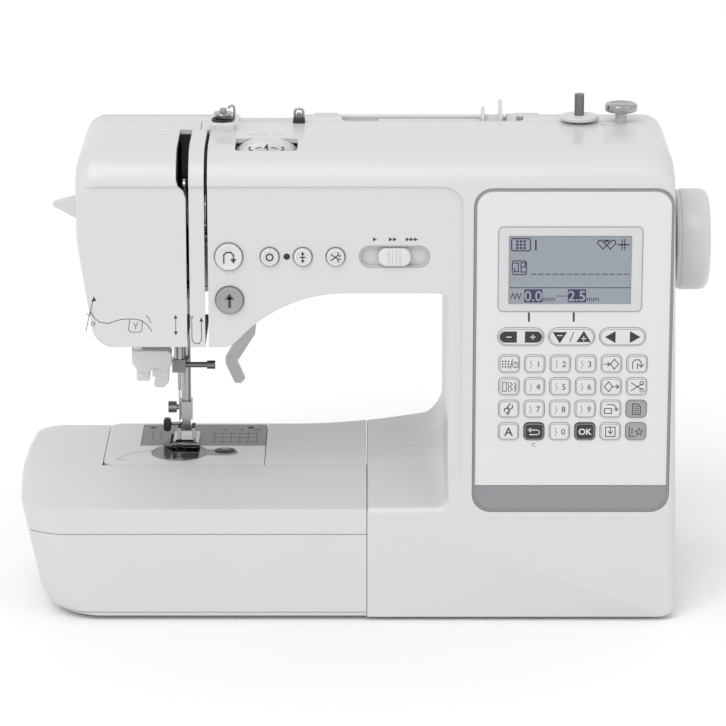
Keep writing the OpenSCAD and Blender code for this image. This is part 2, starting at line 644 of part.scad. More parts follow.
module presser_foot() color("#d5d6d8") difference() {
  union() {
    box([presser_x - 8, presser_y - 19, foot_z], [presser_x + 8, presser_y + 11, foot_z + 1.6]);
    side_view(presser_x - 8, presser_x + 8)
      polygon([[presser_y - 19, foot_z + 1], [presser_y - 19, foot_z + 1.6],
        [presser_y - 22, foot_z + 3.4], [presser_y - 22.6, foot_z + 2.6]]);
    for (s = [-1, 1]) translate([presser_x + s * 4.6, presser_y, 0])
      box([-1.2, -4, foot_z + 1], [1.2, 4, ankle_z + 2.6]);
  }
  box([presser_x - 7, needle_y - 5, foot_z - 1], [presser_x + 5, needle_y + 2, foot_z + 5]);
  box([presser_x - 4.9, presser_y - 24, foot_z - 1], [presser_x - 2.3, needle_y - 4, foot_z + 5]);
  along_x([presser_x - 9, presser_y, ankle_z], 1.25, 18);
}
lifter_at = [needle_x + 43.3, head_under + 23.5];   // pivot of the presser lifter
lifter_y = frame_y[1] + 1;
lifter_t = 5;
lifter_pin_r = 2.5;
module presser_lifter() color("#a8a49a") translate([lifter_at.x, 0, lifter_at.y]) {
  front_view(lifter_y, lifter_y + lifter_t) {
    circle(r = 5.5);
    // upper arm, then the lower arm that the hand takes
    polygon([[-5.5, -1], [-4, -27], [-7.5, -48.5], [-16.2, -63.5],
      [-9, -66], [2.2, -48.5], [5, -26], [5.5, -1]]);
    polygon([[-16.2, -63.5], [-16, -67.5], [-10.6, -79.5], [-6.8, -79.8], [-4.2, -77], [-9, -66]]);
  }
  along_y([0, frame_y[0], 0], lifter_pin_r, lifter_y + 1 - frame_y[0]);
}
lever_y = -18;
lever_z = 237;
module threader_lever() color(white) {
  box([head_left - 1, lever_y - 2.6, lever_z - 5], [head_left + 16, lever_y + 2.6, lever_z + 5]);
  hull() {
    box([head_left - 2.6, lever_y - 6, lever_z - 6.5], [head_left - 1, lever_y + 6, lever_z + 6.5]);
    along_x([head_left - 18, lever_y, lever_z + 2], 1.6, 3);
  }
  box([head_left + 13, lever_y - 2.6, head_under + 30], [head_left + 16, lever_y + 2.6, lever_z + 5]);
}
threader_x = needle_x - 26;
module needle_threader() color("#c9c6bd") {
  box([head_left + 16, lever_y - 2.6, head_under + 30], [threader_x + 5, lever_y + 2.6, head_under + 40]);
  box([threader_x, lever_y - 3, clamp_z + 13], [threader_x + 5, lever_y + 3, head_under + 40]);
  box([threader_x, lever_y - 3, clamp_z + 8], [threader_x + 20, lever_y + 7, clamp_z + 15]);
  difference() {
    box([threader_x + 8, lever_y - 2, clamp_z - 4], [threader_x + 18, lever_y + 9, clamp_z + 9]);
    along_y([threader_x + 9, lever_y - 4, clamp_z + 1], 4, 20);
  }
}
module buttonhole_lever() color("#c9c6bd") {
  box([threader_x - 2, needle_y + 14, head_under - 14], [threader_x + 2, needle_y + 18, head_under + 60]);
  box([threader_x - 6, needle_y + 11, head_under - 22], [threader_x + 6, needle_y + 19, head_under - 14]);
}

// ---------------------------------------------------------------- controls
module round_button(at, r, tint) color(tint) {
  along_y([at.x, front_y - key_proud + 0.2, at.y], r, 3.2);
  along_y([at.x, front_y + 2.3, at.y], r - 1, wall + 2);
  along_y([at.x, inner_y + 2, at.y], r + 1.5, 1.4);
}
module speed_slider() color(white) {
  front_view(front_y - key_proud + 0.1, arm_face + 1.5) polygon(round_rect([slider_at.x - 9.4, slider_at.y - 5.2],
    [slider_at.x + 9.4, slider_at.y + 5.2], 5));
  box([slider_at.x - 2.5, arm_face + 1, slider_at.y - 3], [slider_at.x + 2.5, inner_y + 2, slider_at.y + 3]);
  box([slider_at.x - 8, inner_y + 0.4, slider_at.y - 8], [slider_at.x + 8, inner_y + 2, slider_at.y + 8]);
}
dial_x = -57.5;
dial_y = front_y + shoulder_r + 3;
dial_z = body_top - dial_r + 1.5;
module tension_dial() color(white) {
  along_y([dial_x, dial_y - 6, dial_z], dial_r, 9);
  along_y([dial_x, dial_y + 2, dial_z], 4, 12);
}
module control_panel() color(white) difference() {
  union() {
    front_view(front_y + 0.1, panel_back - 0.1) polygon(round_rect(panel_lo, panel_hi, panel_r));
    // raised rim with the strip along its foot
    difference() {
      front_view(front_y - 0.3, panel_back - 0.1) polygon(round_rect(panel_lo, panel_hi, panel_r));
      front_view(front_y - 2, panel_back) polygon(round_rect(face_lo, face_hi, panel_r - ring));
    }
  }
  front_view(front_y - 2, panel_back + 2) {
    translate(screen_lo) square(screen_hi - screen_lo);
    for (c = [0:5], r = [0:3]) key_shape(c, r, key_gap);
    for (c = [0:2]) pill_shape(c, key_gap);
  }
}
module display_module() color("#9aa3a8") {
  front_view(front_y + 0.9, panel_back + 0.4)
    translate(screen_lo + [0.2, 0.2]) square(screen_hi - screen_lo - [0.4, 0.4]);
  front_view(panel_back + 0.3, panel_back + 4)
    translate(screen_lo - [4, 4]) square(screen_hi - screen_lo + [8, 8]);
}
key_front = front_y - key_proud;
key_back = panel_back + 1.2;
// Twenty-four keys moulded on one soft mat
module keypad() color("#e2e2e2") {
  for (c = [0:5], r = [0:3]) front_view(key_front, key_back) key_shape(c, r);
  front_view(panel_back + 0.3, key_back)
    polygon(round_rect(key_lo(0, 3) - [1.6, 1.6], key_lo(5, 0) + [key_w + 1.6, key_h + 1.6], 3));
}
module rocker_key(c) color("#e2e2e2") {
  front_view(key_front, key_back) pill_shape(c);
  // ridge that it rocks on
  upright([key_x - 0.6 + pill_pitch * c + pill_w / 2, key_back, pill_z + 1], 0.9, pill_h - 2);
}

// ---------------------------------------------------------------- right side and rear
switch_y = -30;
switch_z = 40;
inlet_y = 34;
inlet_z = 30;
module rocker_switch() color(dark) difference() {
  translate([column_right, 0, switch_z]) front_view(switch_y - 9.9, switch_y + 9.9)
    polygon([[-9, -3], [-5, -5], [0.4, -5.6], [-1.2, 0], [1.4, 5.6], [-5, 5], [-9, 3]]);
  along_y([column_right - 4.5, switch_y - 11, switch_z], 1.2, 22);   // bore on its pivot
}
module power_inlet() color(dark) difference() {
  union() {
    box([column_right - 16, inlet_y - 12, inlet_z - 9], [column_right - 0.8, inlet_y + 12, inlet_z + 9]);
    box([column_right - 14, inlet_y - 6, inlet_z + 14], [column_right - 0.8, inlet_y + 6, inlet_z + 26]);
  }
  box([column_right - 12, inlet_y - 9, inlet_z - 6], [column_right + 2, inlet_y + 9, inlet_z + 6]);
  along_x([column_right - 11, inlet_y, inlet_z + 20], 3.2, 14);
}

// ---------------------------------------------------------------- top of the machine
winder_at = [127.8, 0];
stop_at = [152.8, 0];
winder_holes = [[winder_at.x + 2, winder_at.y, 6.5], [stop_at.x, stop_at.y, 3.7]];
module winder_carriage() color(white) difference() {
  union() {
    upright([winder_at.x, winder_at.y, body_top + 1.2], 11.6, 2.6);
    upright([winder_at.x, winder_at.y, body_top - 12], 4.1, 13.4);
  }
  upright([winder_at.x, winder_at.y, body_top - 20], winder_r - 0.1 + run, 30);
}
module winder_shaft() color("#7d7d80") {
  upright([winder_at.x, winder_at.y, body_top - 18], winder_r - 0.6, 35);
  upright([winder_at.x, winder_at.y, body_top + 4], winder_r, 13);
  upright([winder_at.x, winder_at.y, body_top - 20], 10, 6);
}
module winder_stop() color(white) {
  upright([stop_at.x, stop_at.y, body_top - 8], 3.4, 15);
  upright([stop_at.x, stop_at.y, body_top + 6.4], 9.7, 4.8);
}
guide_at = [-84, -20];
clip_at = [-39.5, -2];
module thread_guides() color(steel) {
  box([guide_at.x - 8, guide_at.y - 8, body_top], [guide_at.x + 7.5, guide_at.y + 8, body_top + 5]);
  upright([guide_at.x, guide_at.y, body_top + 4.9], 2, 7);
  upright([guide_at.x, guide_at.y, body_top + 7], 5.6, 1.2);
  upright([guide_at.x, guide_at.y, body_top + 9], 5.6, 1.2);
  upright([guide_at.x + 6.5, guide_at.y + 4, body_top + 4], 0.7, 10);
  // clip behind the dial
  side_view(clip_at.x - 1.5, clip_at.x + 1.5) difference() {
    translate([clip_at.y - 4, body_top]) square([8, 9]);
    translate([clip_at.y - 2.6, body_top + 4]) square([5.2, 3.6]);
  }
}
pin_y = 22;
pin_z = body_top - 6;
pin_right = trough[1].x - 3;
pin_hinge = pin_right - 4;         // the pin swings up about its right end
pin_hinge_r = 2;
// cheeks in the trough that hold the spool pin
module pin_cheeks() for (s = [-1, 1]) difference() {
  box([pin_hinge - 4, pin_y + s * 7.75 - 1.25, trough_z - 0.5],
    [trough[1].x + 0.5, pin_y + s * 7.75 + 1.25, pin_z + 3.2]);
  along_y([pin_hinge, pin_y - 12, pin_z], pin_hinge_r + run + 0.05, 24);
}
module spool_pin() color(white) {
  along_x([pin_right - 84, pin_y, pin_z], spool_pin_r, 61);
  along_x([pin_right - 24, pin_y, pin_z], spool_pin_r - 0.6, 18);
  along_x([pin_right - 7, pin_y, pin_z], 6, 6);
  along_y([pin_hinge, pin_y - 8.7, pin_z], pin_hinge_r, 17.4);
}
module spool_cap() color(white) difference() {
  union() {
    along_x([pin_right - 11.5, pin_y, pin_z], 14.6, 1.8);
    along_x([pin_right - 22, pin_y, pin_z], 5.4, 13);
    along_x([pin_right - 22, pin_y, pin_z], 10.4, 1.8);
  }
  along_x([pin_right - 30, pin_y, pin_z], spool_pin_r + 0.15, 30);
}
handle_y = 52;                    // middle of the grip
handle_top = deck_z + 18.5;
handle_pin_r = 2.5;
pivot_y = rear_y - 12;
pivot_z = deck_z + 5.5;
module carry_handle() color(white) {
  x0 = deck[0].x + 3;
  x1 = deck[1].x - 3;
  side_view(x0 + 15, x1 - 15)
    polygon(round_rect([handle_y - 7, deck_z + 5], [handle_y + 7, handle_top], 4));
  for (x = [x0, x1 - 15.1]) side_view(x, x + 15.1)
    polygon(concat([[handle_y - 7, deck_z + 1.5]], arc([pivot_y, pivot_z], 4, 270, 430),
      [[handle_y + 7, handle_top], [handle_y - 6, handle_top], [handle_y - 7, handle_top - 1]]));
  for (x = [x0 - 5.4, x1 - 1]) along_x([x, pivot_y, pivot_z], handle_pin_r, 6.4);
}
module housing_screws() color(steel)
  for (p = screw_at) along_y([p.x, rear_y - 4, p.y], 3, 2.4);

// ---------------------------------------------------------------- bed extension
ext_t = 2.4;
function ext_plan() = concat(
  [[seam_x - gap / 2, arm_front - gap], [arm_left - gap, arm_front - gap], [arm_left - gap, arm_rear]],
  arc([bed_left + 20, arm_rear - 15], 15, 90, 165, 6),
  [[bed_left, -8]],
  arc([bed_left + 24, front_y + 20], 20, 192, 270, 8),
  [[seam_x - gap / 2, front_y]]);
function ext_outline() = concat(
  [[seam_x + 5, foot_h], [seam_x + 5, bed_h]],
  [[bed_left, bed_h], [bed_left, bed_h - 6], [bed_left + 5, 50], [bed_left + 11, 22]],
  arc([bed_left + 30, foot_h + 20], 20, 195, 270, 6));
module ext_solid(inset = 0) difference() {
  intersection() {
    plan_view(foot_h, bed_h - inset) offset(delta = -inset) polygon(ext_plan());
    front_view(-120, 120) offset(delta = -inset) polygon(ext_outline());
  }
  slope_cut(bed_left - 5, seam_x + 1, inset);
}
door_low = foot_h + ext_t + 0.7;
door_axis = [front_y + 1.5, door_low + 1.5];
// The door's top edge is an arc about its hinge, so it swings clear of the wall above
module door_zone(grow = 0) intersection() {
  box([bed_left - 2, front_y - 2, door_low - grow * 2], [seam_x + 2, front_y + 15 + grow, bed_h]);
  along_x([bed_left - 2, door_axis.x, door_axis.y], door_h - door_axis.y + grow, overall_w);
}
module bed_extension() color(white) difference() {
  ext_solid();
  ext_solid(ext_t);
  door_zone(gap);
}
module accessory_door() color(white) difference() {
  intersection() {
    ext_solid();
    door_zone();
  }
  ext_solid(ext_t);
}

front_housing();
rear_housing();
face_cover();
thread_guide_strip();
base_plate();
rubber_feet();
free_arm_shell();
plate_cover();
needle_plate();
cast_frame();
control_panel();
display_module();
circuit_boards();
power_inlet();
main_motor();
stepping_motors();
shaft_bushes();
housing_screws();
tension_discs();
thread_guides();
spool_pin();
winder_carriage();
winder_stop();
bobbin_case();
drive_belts();
handwheel();
main_shaft();
lower_shaft();
rotary_hook();
motor_pulley();
needle_bar();
needle_clamp();
needle();
take_up_lever();
presser_bar();
presser_foot();
presser_lifter();
threader_lever();
needle_threader();
buttonhole_lever();
tension_dial();
carry_handle();
spool_cap();
winder_shaft();
bed_extension();
accessory_door();
bobbin_cover();
bobbin();
feed_dogs();
round_button(reverse_at, big_r, white);  // reverse_button
round_button(start_at, big_r, grey);  // start_stop_button
round_button(reinforce_at, small_r, white);  // reinforcement_button
round_button(needle_up_at, small_r, white);  // needle_position_button
round_button(cutter_at, small_r, white);  // cutter_button
speed_slider();
rocker_switch();  // power_switch
keypad();
rocker_key(0);  // width_rocker
rocker_key(1);  // length_rocker
rocker_key(2);  // cursor_rocker
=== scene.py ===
"""Looks of a computerised free-arm sewing machine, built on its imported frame.

All sizes are millimetres until a mesh is made, where they become metres.
+X is the handwheel side, +Y the rear and +Z up, with the origin on the table.
"""
from __future__ import annotations

import logging
import math
from collections.abc import Iterable, Sequence
from dataclasses import dataclass, field
from enum import Enum

import bmesh
import bpy
from mathutils import Matrix, Vector

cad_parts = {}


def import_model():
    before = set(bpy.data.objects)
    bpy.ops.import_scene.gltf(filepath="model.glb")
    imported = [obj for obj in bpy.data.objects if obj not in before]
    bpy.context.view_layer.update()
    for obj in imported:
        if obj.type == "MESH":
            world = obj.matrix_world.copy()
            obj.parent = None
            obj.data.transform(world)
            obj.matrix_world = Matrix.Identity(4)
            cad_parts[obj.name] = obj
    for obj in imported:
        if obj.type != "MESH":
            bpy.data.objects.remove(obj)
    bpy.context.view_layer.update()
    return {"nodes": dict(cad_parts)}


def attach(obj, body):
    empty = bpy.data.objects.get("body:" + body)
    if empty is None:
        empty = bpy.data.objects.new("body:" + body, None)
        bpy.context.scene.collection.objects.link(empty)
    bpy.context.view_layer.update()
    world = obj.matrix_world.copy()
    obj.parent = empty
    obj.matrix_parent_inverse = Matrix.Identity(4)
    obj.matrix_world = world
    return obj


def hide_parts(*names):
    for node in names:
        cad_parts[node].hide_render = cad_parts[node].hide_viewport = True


LOG = logging.getLogger("sewing_machine")
MM = 0.001

Point2 = tuple[float, float]
Point3 = tuple[float, float, float]
Piece = bpy.types.Object


class Plane(Enum):
    """Which two axes a flat drawing lies along, and so which one it is extruded along."""

    FRONT = "xz"
    SIDE = "yz"
    PLAN = "xy"

    def place(self, u: float, v: float, depth: float) -> Point3:
        """A drawing's point at a depth along the extrusion axis."""
        if self is Plane.FRONT:
            return (u, depth, v)
        if self is Plane.SIDE:
            return (depth, u, v)
        return (u, v, depth)


# ------------------------------------------------------------------ drawing
def arc(centre: Point2, radius: float, start: float, end: float, steps: int = 8) -> list[Point2]:
    """Points along an arc, in degrees.

    Args:
        centre: Centre of the arc.
        radius: Its radius.
        start: First angle.
        end: Last angle.
        steps: Number of stretches.

    Returns:
        The points, both ends included.
    """
    angles = [math.radians(start + (end - start) * i / steps) for i in range(steps + 1)]
    return [(centre[0] + radius * math.cos(a), centre[1] + radius * math.sin(a)) for a in angles]


def rounded_box(low: Point2, high: Point2, radius: float, steps: int = 6) -> list[Point2]:
    """Outline of a rectangle with round corners, anticlockwise.

    Args:
        low: Its corner with the smaller coordinates.
        high: The opposite corner.
        radius: Radius of the corners, held to half the shorter side.
        steps: Stretches in each corner.

    Returns:
        The outline's points.
    """
    (x0, y0), (x1, y1) = low, high
    r = min(radius, (x1 - x0) / 2 - 0.01, (y1 - y0) / 2 - 0.01)
    return (arc((x1 - r, y1 - r), r, 0, 90, steps) + arc((x0 + r, y1 - r), r, 90, 180, steps)
            + arc((x0 + r, y0 + r), r, 180, 270, steps) + arc((x1 - r, y0 + r), r, 270, 360, steps))


def inset(outline: Sequence[Point2], distance: float) -> list[Point2]:
    """An anticlockwise outline moved inwards along its corners' bisectors.

    Args:
        outline: The outline.
        distance: How far it moves; a negative distance moves it outwards.

    Returns:
        As many points as the outline has.
    """
    result = []
    count = len(outline)
    for i in range(count):
        before, here, after = (Vector(outline[(i + k) % count]) for k in (-1, 0, 1))
        into, out = (here - before), (after - here)
        if into.length < 1e-6 or out.length < 1e-6:
            into = out = (after - before)
        into.normalize()
        out.normalize()
        bisector = Vector((-into.y - out.y, into.x + out.x))
        bisector.normalize()
        stretch = max(0.4, bisector.dot(Vector((-into.y, into.x))))
        result.append(tuple(here + bisector * distance / stretch))
    return result


def edge_drop(depth: float, radius: float) -> float:
    """How far a rounded edge has fallen away at a depth from the face it starts on."""
    if depth >= radius:
        return 0.0
    return radius - math.sqrt(max(0.0, radius * radius - (radius - max(0.0, depth)) ** 2))


# ------------------------------------------------------------------ meshes
def make_object(name: str, mesh: bmesh.types.BMesh) -> Piece:
    """Turns a mesh in millimetres into an object in metres at the origin."""
    mesh.transform(Matrix.Scale(MM, 4))
    data = bpy.data.meshes.new(name)
    mesh.to_mesh(data)
    mesh.free()
    piece = bpy.data.objects.new(name, data)
    bpy.context.scene.collection.objects.link(piece)
    return piece


def loft(name: str, rings: Sequence[Sequence[Point3]]) -> Piece:
    """A closed skin through rings that have the same number of points.

    Args:
        name: Name of the piece.
        rings: The rings from one end to the other.

    Returns:
        The object, with both ends closed.
    """
    mesh = bmesh.new()
    rows = [[mesh.verts.new(point) for point in ring] for ring in rings]
    count = len(rows[0])
    for lower, upper in zip(rows, rows[1:]):
        for i in range(count):
            j = (i + 1) % count
            mesh.faces.new((lower[i], lower[j], upper[j], upper[i]))
    mesh.faces.new(rows[0])
    mesh.faces.new(rows[-1])
    bmesh.ops.recalc_face_normals(mesh, faces=mesh.faces)
    return make_object(name, mesh)


def slab(name: str, outline: Sequence[Point2], plane: Plane, low: float, high: float,
         low_edge: float = 0.0, high_edge: float = 0.0, steps: int = 4) -> Piece:
    """An extruded outline whose two rims may be rounded.

    Args:
        name: Name of the piece.
        outline: Anticlockwise outline.
        plane: The plane that it lies in.
        low: Where the extrusion starts.
        high: Where it ends.
        low_edge: Radius of the rim at the start.
        high_edge: Radius of the rim at the end.
        steps: Stretches in each rounded rim.

    Returns:
        The closed object.
    """
    levels: list[tuple[float, float]] = []
    if low_edge > 0:
        levels = [(low + low_edge * (1 - math.cos(math.pi / 2 * i / steps)),
                   low_edge * (1 - math.sin(math.pi / 2 * i / steps))) for i in range(steps + 1)]
    else:
        levels.append((low, 0.0))
    if high_edge > 0:
        levels += [(high - high_edge * (1 - math.sin(math.pi / 2 * i / steps)),
                    high_edge * (1 - math.cos(math.pi / 2 * i / steps))) for i in range(steps + 1)]
    else:
        levels.append((high, 0.0))
    rings = [[plane.place(u, v, depth) for u, v in (inset(outline, drop) if drop else outline)]
             for depth, drop in levels]
    return loft(name, rings)


def lathe(name: str, profile: Sequence[Point2], at: Point3, axis: Plane = Plane.PLAN,
          segments: int = 64) -> Piece:
    """A turned piece.

    Args:
        name: Name of the piece.
        profile: (height, radius) points from one end to the other.
        at: Where height 0 is.
        axis: PLAN turns about Z, FRONT about Y and SIDE about X.
        segments: Facets round it.

    Returns:
        The closed object.
    """
    rings = []
    for height, radius in profile:
        ring = []
        for i in range(segments):
            angle = 2 * math.pi * i / segments
            u, v = max(radius, 0.01) * math.cos(angle), max(radius, 0.01) * math.sin(angle)
            x, y, z = axis.place(u, v, height)
            ring.append((x + at[0], y + at[1], z + at[2]))
        rings.append(ring)
    return loft(name, rings)


def wire(name: str, path: Sequence[Point3], radius: float, segments: int = 12) -> Piece:
    """A round wire along a path.

    Args:
        name: Name of the piece.
        path: Points along its middle.
        radius: Radius of the wire.
        segments: Facets round it.

    Returns:
        The object, closed at both ends.
    """
    points = [Vector(p) for p in path]
    normal = Vector((0.31, 0.87, 0.38))
    rings = []
    for i, point in enumerate(points):
        ahead = points[min(i + 1, len(points) - 1)] - points[max(i - 1, 0)]
        ahead.normalize()
        normal = (normal - ahead * normal.dot(ahead)).normalized()
        side = ahead.cross(normal)
        turns = (2 * math.pi * k / segments for k in range(segments))
        rings.append([tuple(point + radius * (normal * math.cos(t) + side * math.sin(t))) for t in turns])
    return loft(name, rings)


def box(name: str, low: Point3, high: Point3) -> Piece:
    """A plain block, used to cut and divide pieces."""
    outline = [(low[0], low[1]), (high[0], low[1]), (high[0], high[1]), (low[0], high[1])]
    return slab(name, outline, Plane.PLAN, low[2], high[2])


def settle(piece: Piece) -> Piece:
    """Applies a piece's modifiers to its mesh."""
    depsgraph = bpy.context.evaluated_depsgraph_get()
    data = bpy.data.meshes.new_from_object(piece.evaluated_get(depsgraph), depsgraph=depsgraph)
    piece.modifiers.clear()
    old = piece.data
    piece.data = data
    bpy.data.meshes.remove(old)
    return piece


def combine(piece: Piece, tools: Iterable[Piece], operation: str) -> Piece:
    """Cuts, joins or intersects a piece with others, which are used up.

    Args:
        piece: The piece that is kept.
        tools: The other solids.
        operation: DIFFERENCE, UNION or INTERSECT.

    Returns:
        The piece.
    """
    for tool in tools:
        modifier = piece.modifiers.new("combine", "BOOLEAN")
        modifier.object = tool
        modifier.operation = operation
        modifier.solver = "MANIFOLD"
        settle(piece)
        bpy.data.objects.remove(tool)
    return piece


def copy_of(piece: Piece, name: str) -> Piece:
    """A separate copy of a piece and its mesh."""
    twin = bpy.data.objects.new(name, piece.data.copy())
    bpy.context.scene.collection.objects.link(twin)
    return twin


def join(name: str, pieces: Sequence[Piece]) -> Piece:
    """Puts several pieces of one finish into one object.

    Args:
        name: Name of the new object.
        pieces: The pieces, which are used up.

    Returns:
        The new object.
    """
    mesh = bmesh.new()
    for piece in pieces:
        mesh.from_mesh(piece.data)
        bpy.data.objects.remove(piece)
    data = bpy.data.meshes.new(name)
    mesh.to_mesh(data)
    mesh.free()
    joined = bpy.data.objects.new(name, data)
    bpy.context.scene.collection.objects.link(joined)
    return joined


def smooth(piece: Piece, angle: float = 32.0) -> None:
    """Smooth shading with sharp edges kept where faces meet above an angle."""
    piece.data.shade_smooth()
    piece.data.set_sharp_from_angle(angle=math.radians(angle))


# ------------------------------------------------------------------ finishes
@dataclass(frozen=True)
class Finish:
    """One finish of the machine.

    Attributes:
        name: Plain name.
        color: Base colour.
        roughness: Mean roughness.
        metallic: 1 for bare metal.
        grain: Height of the fine grain, in mm.
        grain_scale: Fine grains per metre.
        mottle: How much the colour and the roughness drift.
        stretch: How far the grain is drawn out along each axis.
        coat: Weight of the clear coat.
        transmission: How much light passes through.
        glow: Strength of the light that it gives off.
    """

    name: str
    color: tuple[float, float, float]
    roughness: float
    metallic: float = 0.0
    grain: float = 0.004
    grain_scale: float = 2600.0
    mottle: float = 0.03
    stretch: tuple[float, float, float] = (1.0, 1.0, 1.0)
    coat: float = 0.0
    transmission: float = 0.0
    glow: float = 0.0


class Finishes(Enum):
    """The finishes in use."""

    SHELL = Finish("white_moulding", (0.605, 0.605, 0.61), 0.34, coat=0.25)
    PANEL = Finish("panel_white", (0.655, 0.655, 0.66), 0.30, grain=0.001, coat=0.2)
    KEY = Finish("pale_key", (0.64, 0.64, 0.645), 0.45, grain=0.006)
    KEY_GREY = Finish("grey_key", (0.31, 0.315, 0.32), 0.45, grain=0.006)
    KEY_BLACK = Finish("black_key", (0.022, 0.023, 0.026), 0.42, grain=0.006)
    OUTLINE = Finish("grey_trim", (0.235, 0.24, 0.25), 0.4)
    SILVER = Finish("silver_strip", (0.27, 0.275, 0.285), 0.34, metallic=0.55, stretch=(0.04, 1, 1),
                    mottle=0.10)
    BEZEL = Finish("screen_surround", (0.58, 0.58, 0.585), 0.4)
    SCREEN = Finish("screen_glass", (0.235, 0.26, 0.29), 0.22, grain=0.0, mottle=0.02, coat=0.5, glow=0.08)
    SCREEN_INK = Finish("screen_ink", (0.030, 0.022, 0.085), 0.4, grain=0.0)
    INK = Finish("dark_print", (0.045, 0.047, 0.055), 0.5, grain=0.0)
    PALE_INK = Finish("grey_print", (0.28, 0.285, 0.30), 0.5, grain=0.0)
    WHITE_INK = Finish("white_print", (0.70, 0.70, 0.70), 0.5, grain=0.0)
    CHROME = Finish("polished_chrome", (0.40, 0.40, 0.41), 0.16, metallic=1.0, grain=0.0, mottle=0.05)
    STEEL = Finish("satin_steel", (0.22, 0.22, 0.225), 0.30, metallic=1.0, grain=0.004, stretch=(1, 1, 0.05),
                   mottle=0.08)
    PLATE = Finish("brushed_plate", (0.22, 0.22, 0.22), 0.42, metallic=0.6, grain=0.003,
                   stretch=(1, 0.05, 1), mottle=0.10)
    DARK = Finish("dark_moulding", (0.018, 0.018, 0.020), 0.45)
    IVORY = Finish("pale_grey_lever", (0.70, 0.695, 0.685), 0.42)
    RUBBER = Finish("soft_rubber", (0.03, 0.03, 0.032), 0.75, grain=0.02, grain_scale=900)
    CASTING = Finish("cast_alloy", (0.40, 0.41, 0.42), 0.5, metallic=0.8, grain=0.03, grain_scale=700,
                     mottle=0.12)
    BRONZE = Finish("bearing_bronze", (0.45, 0.30, 0.14), 0.35, metallic=1.0)
    BOARD = Finish("circuit_board", (0.02, 0.11, 0.05), 0.4, grain=0.01, mottle=0.15)
    MOTOR = Finish("dark_motor_paint", (0.11, 0.115, 0.12), 0.45)
    CLEAR = Finish("clear_moulding", (0.42, 0.44, 0.46), 0.10, grain=0.0, transmission=0.9)

    def material(self) -> bpy.types.Material:
        """The finish's material, made once."""
        spec: Finish = self.value
        known = bpy.data.materials.get(spec.name)
        return known if known else MaterialShop.build(spec)


def add_node(tree: bpy.types.NodeTree, kind: str, inputs: dict[str | int, object] | None = None,
             operation: str = "") -> bpy.types.Node:
    """Adds a node and fills its inputs.

    Args:
        tree: The tree that it goes in.
        kind: The node's type.
        inputs: A value or another node's output for each input, by name or place.
        operation: What a maths node works out.

    Returns:
        The node.
    """
    node = tree.nodes.new(kind)
    if operation:
        node.operation = operation
    for key, given in (inputs or {}).items():
        if isinstance(given, bpy.types.NodeSocket):
            tree.links.new(given, node.inputs[key])
        else:
            node.inputs[key].default_value = given
    return node


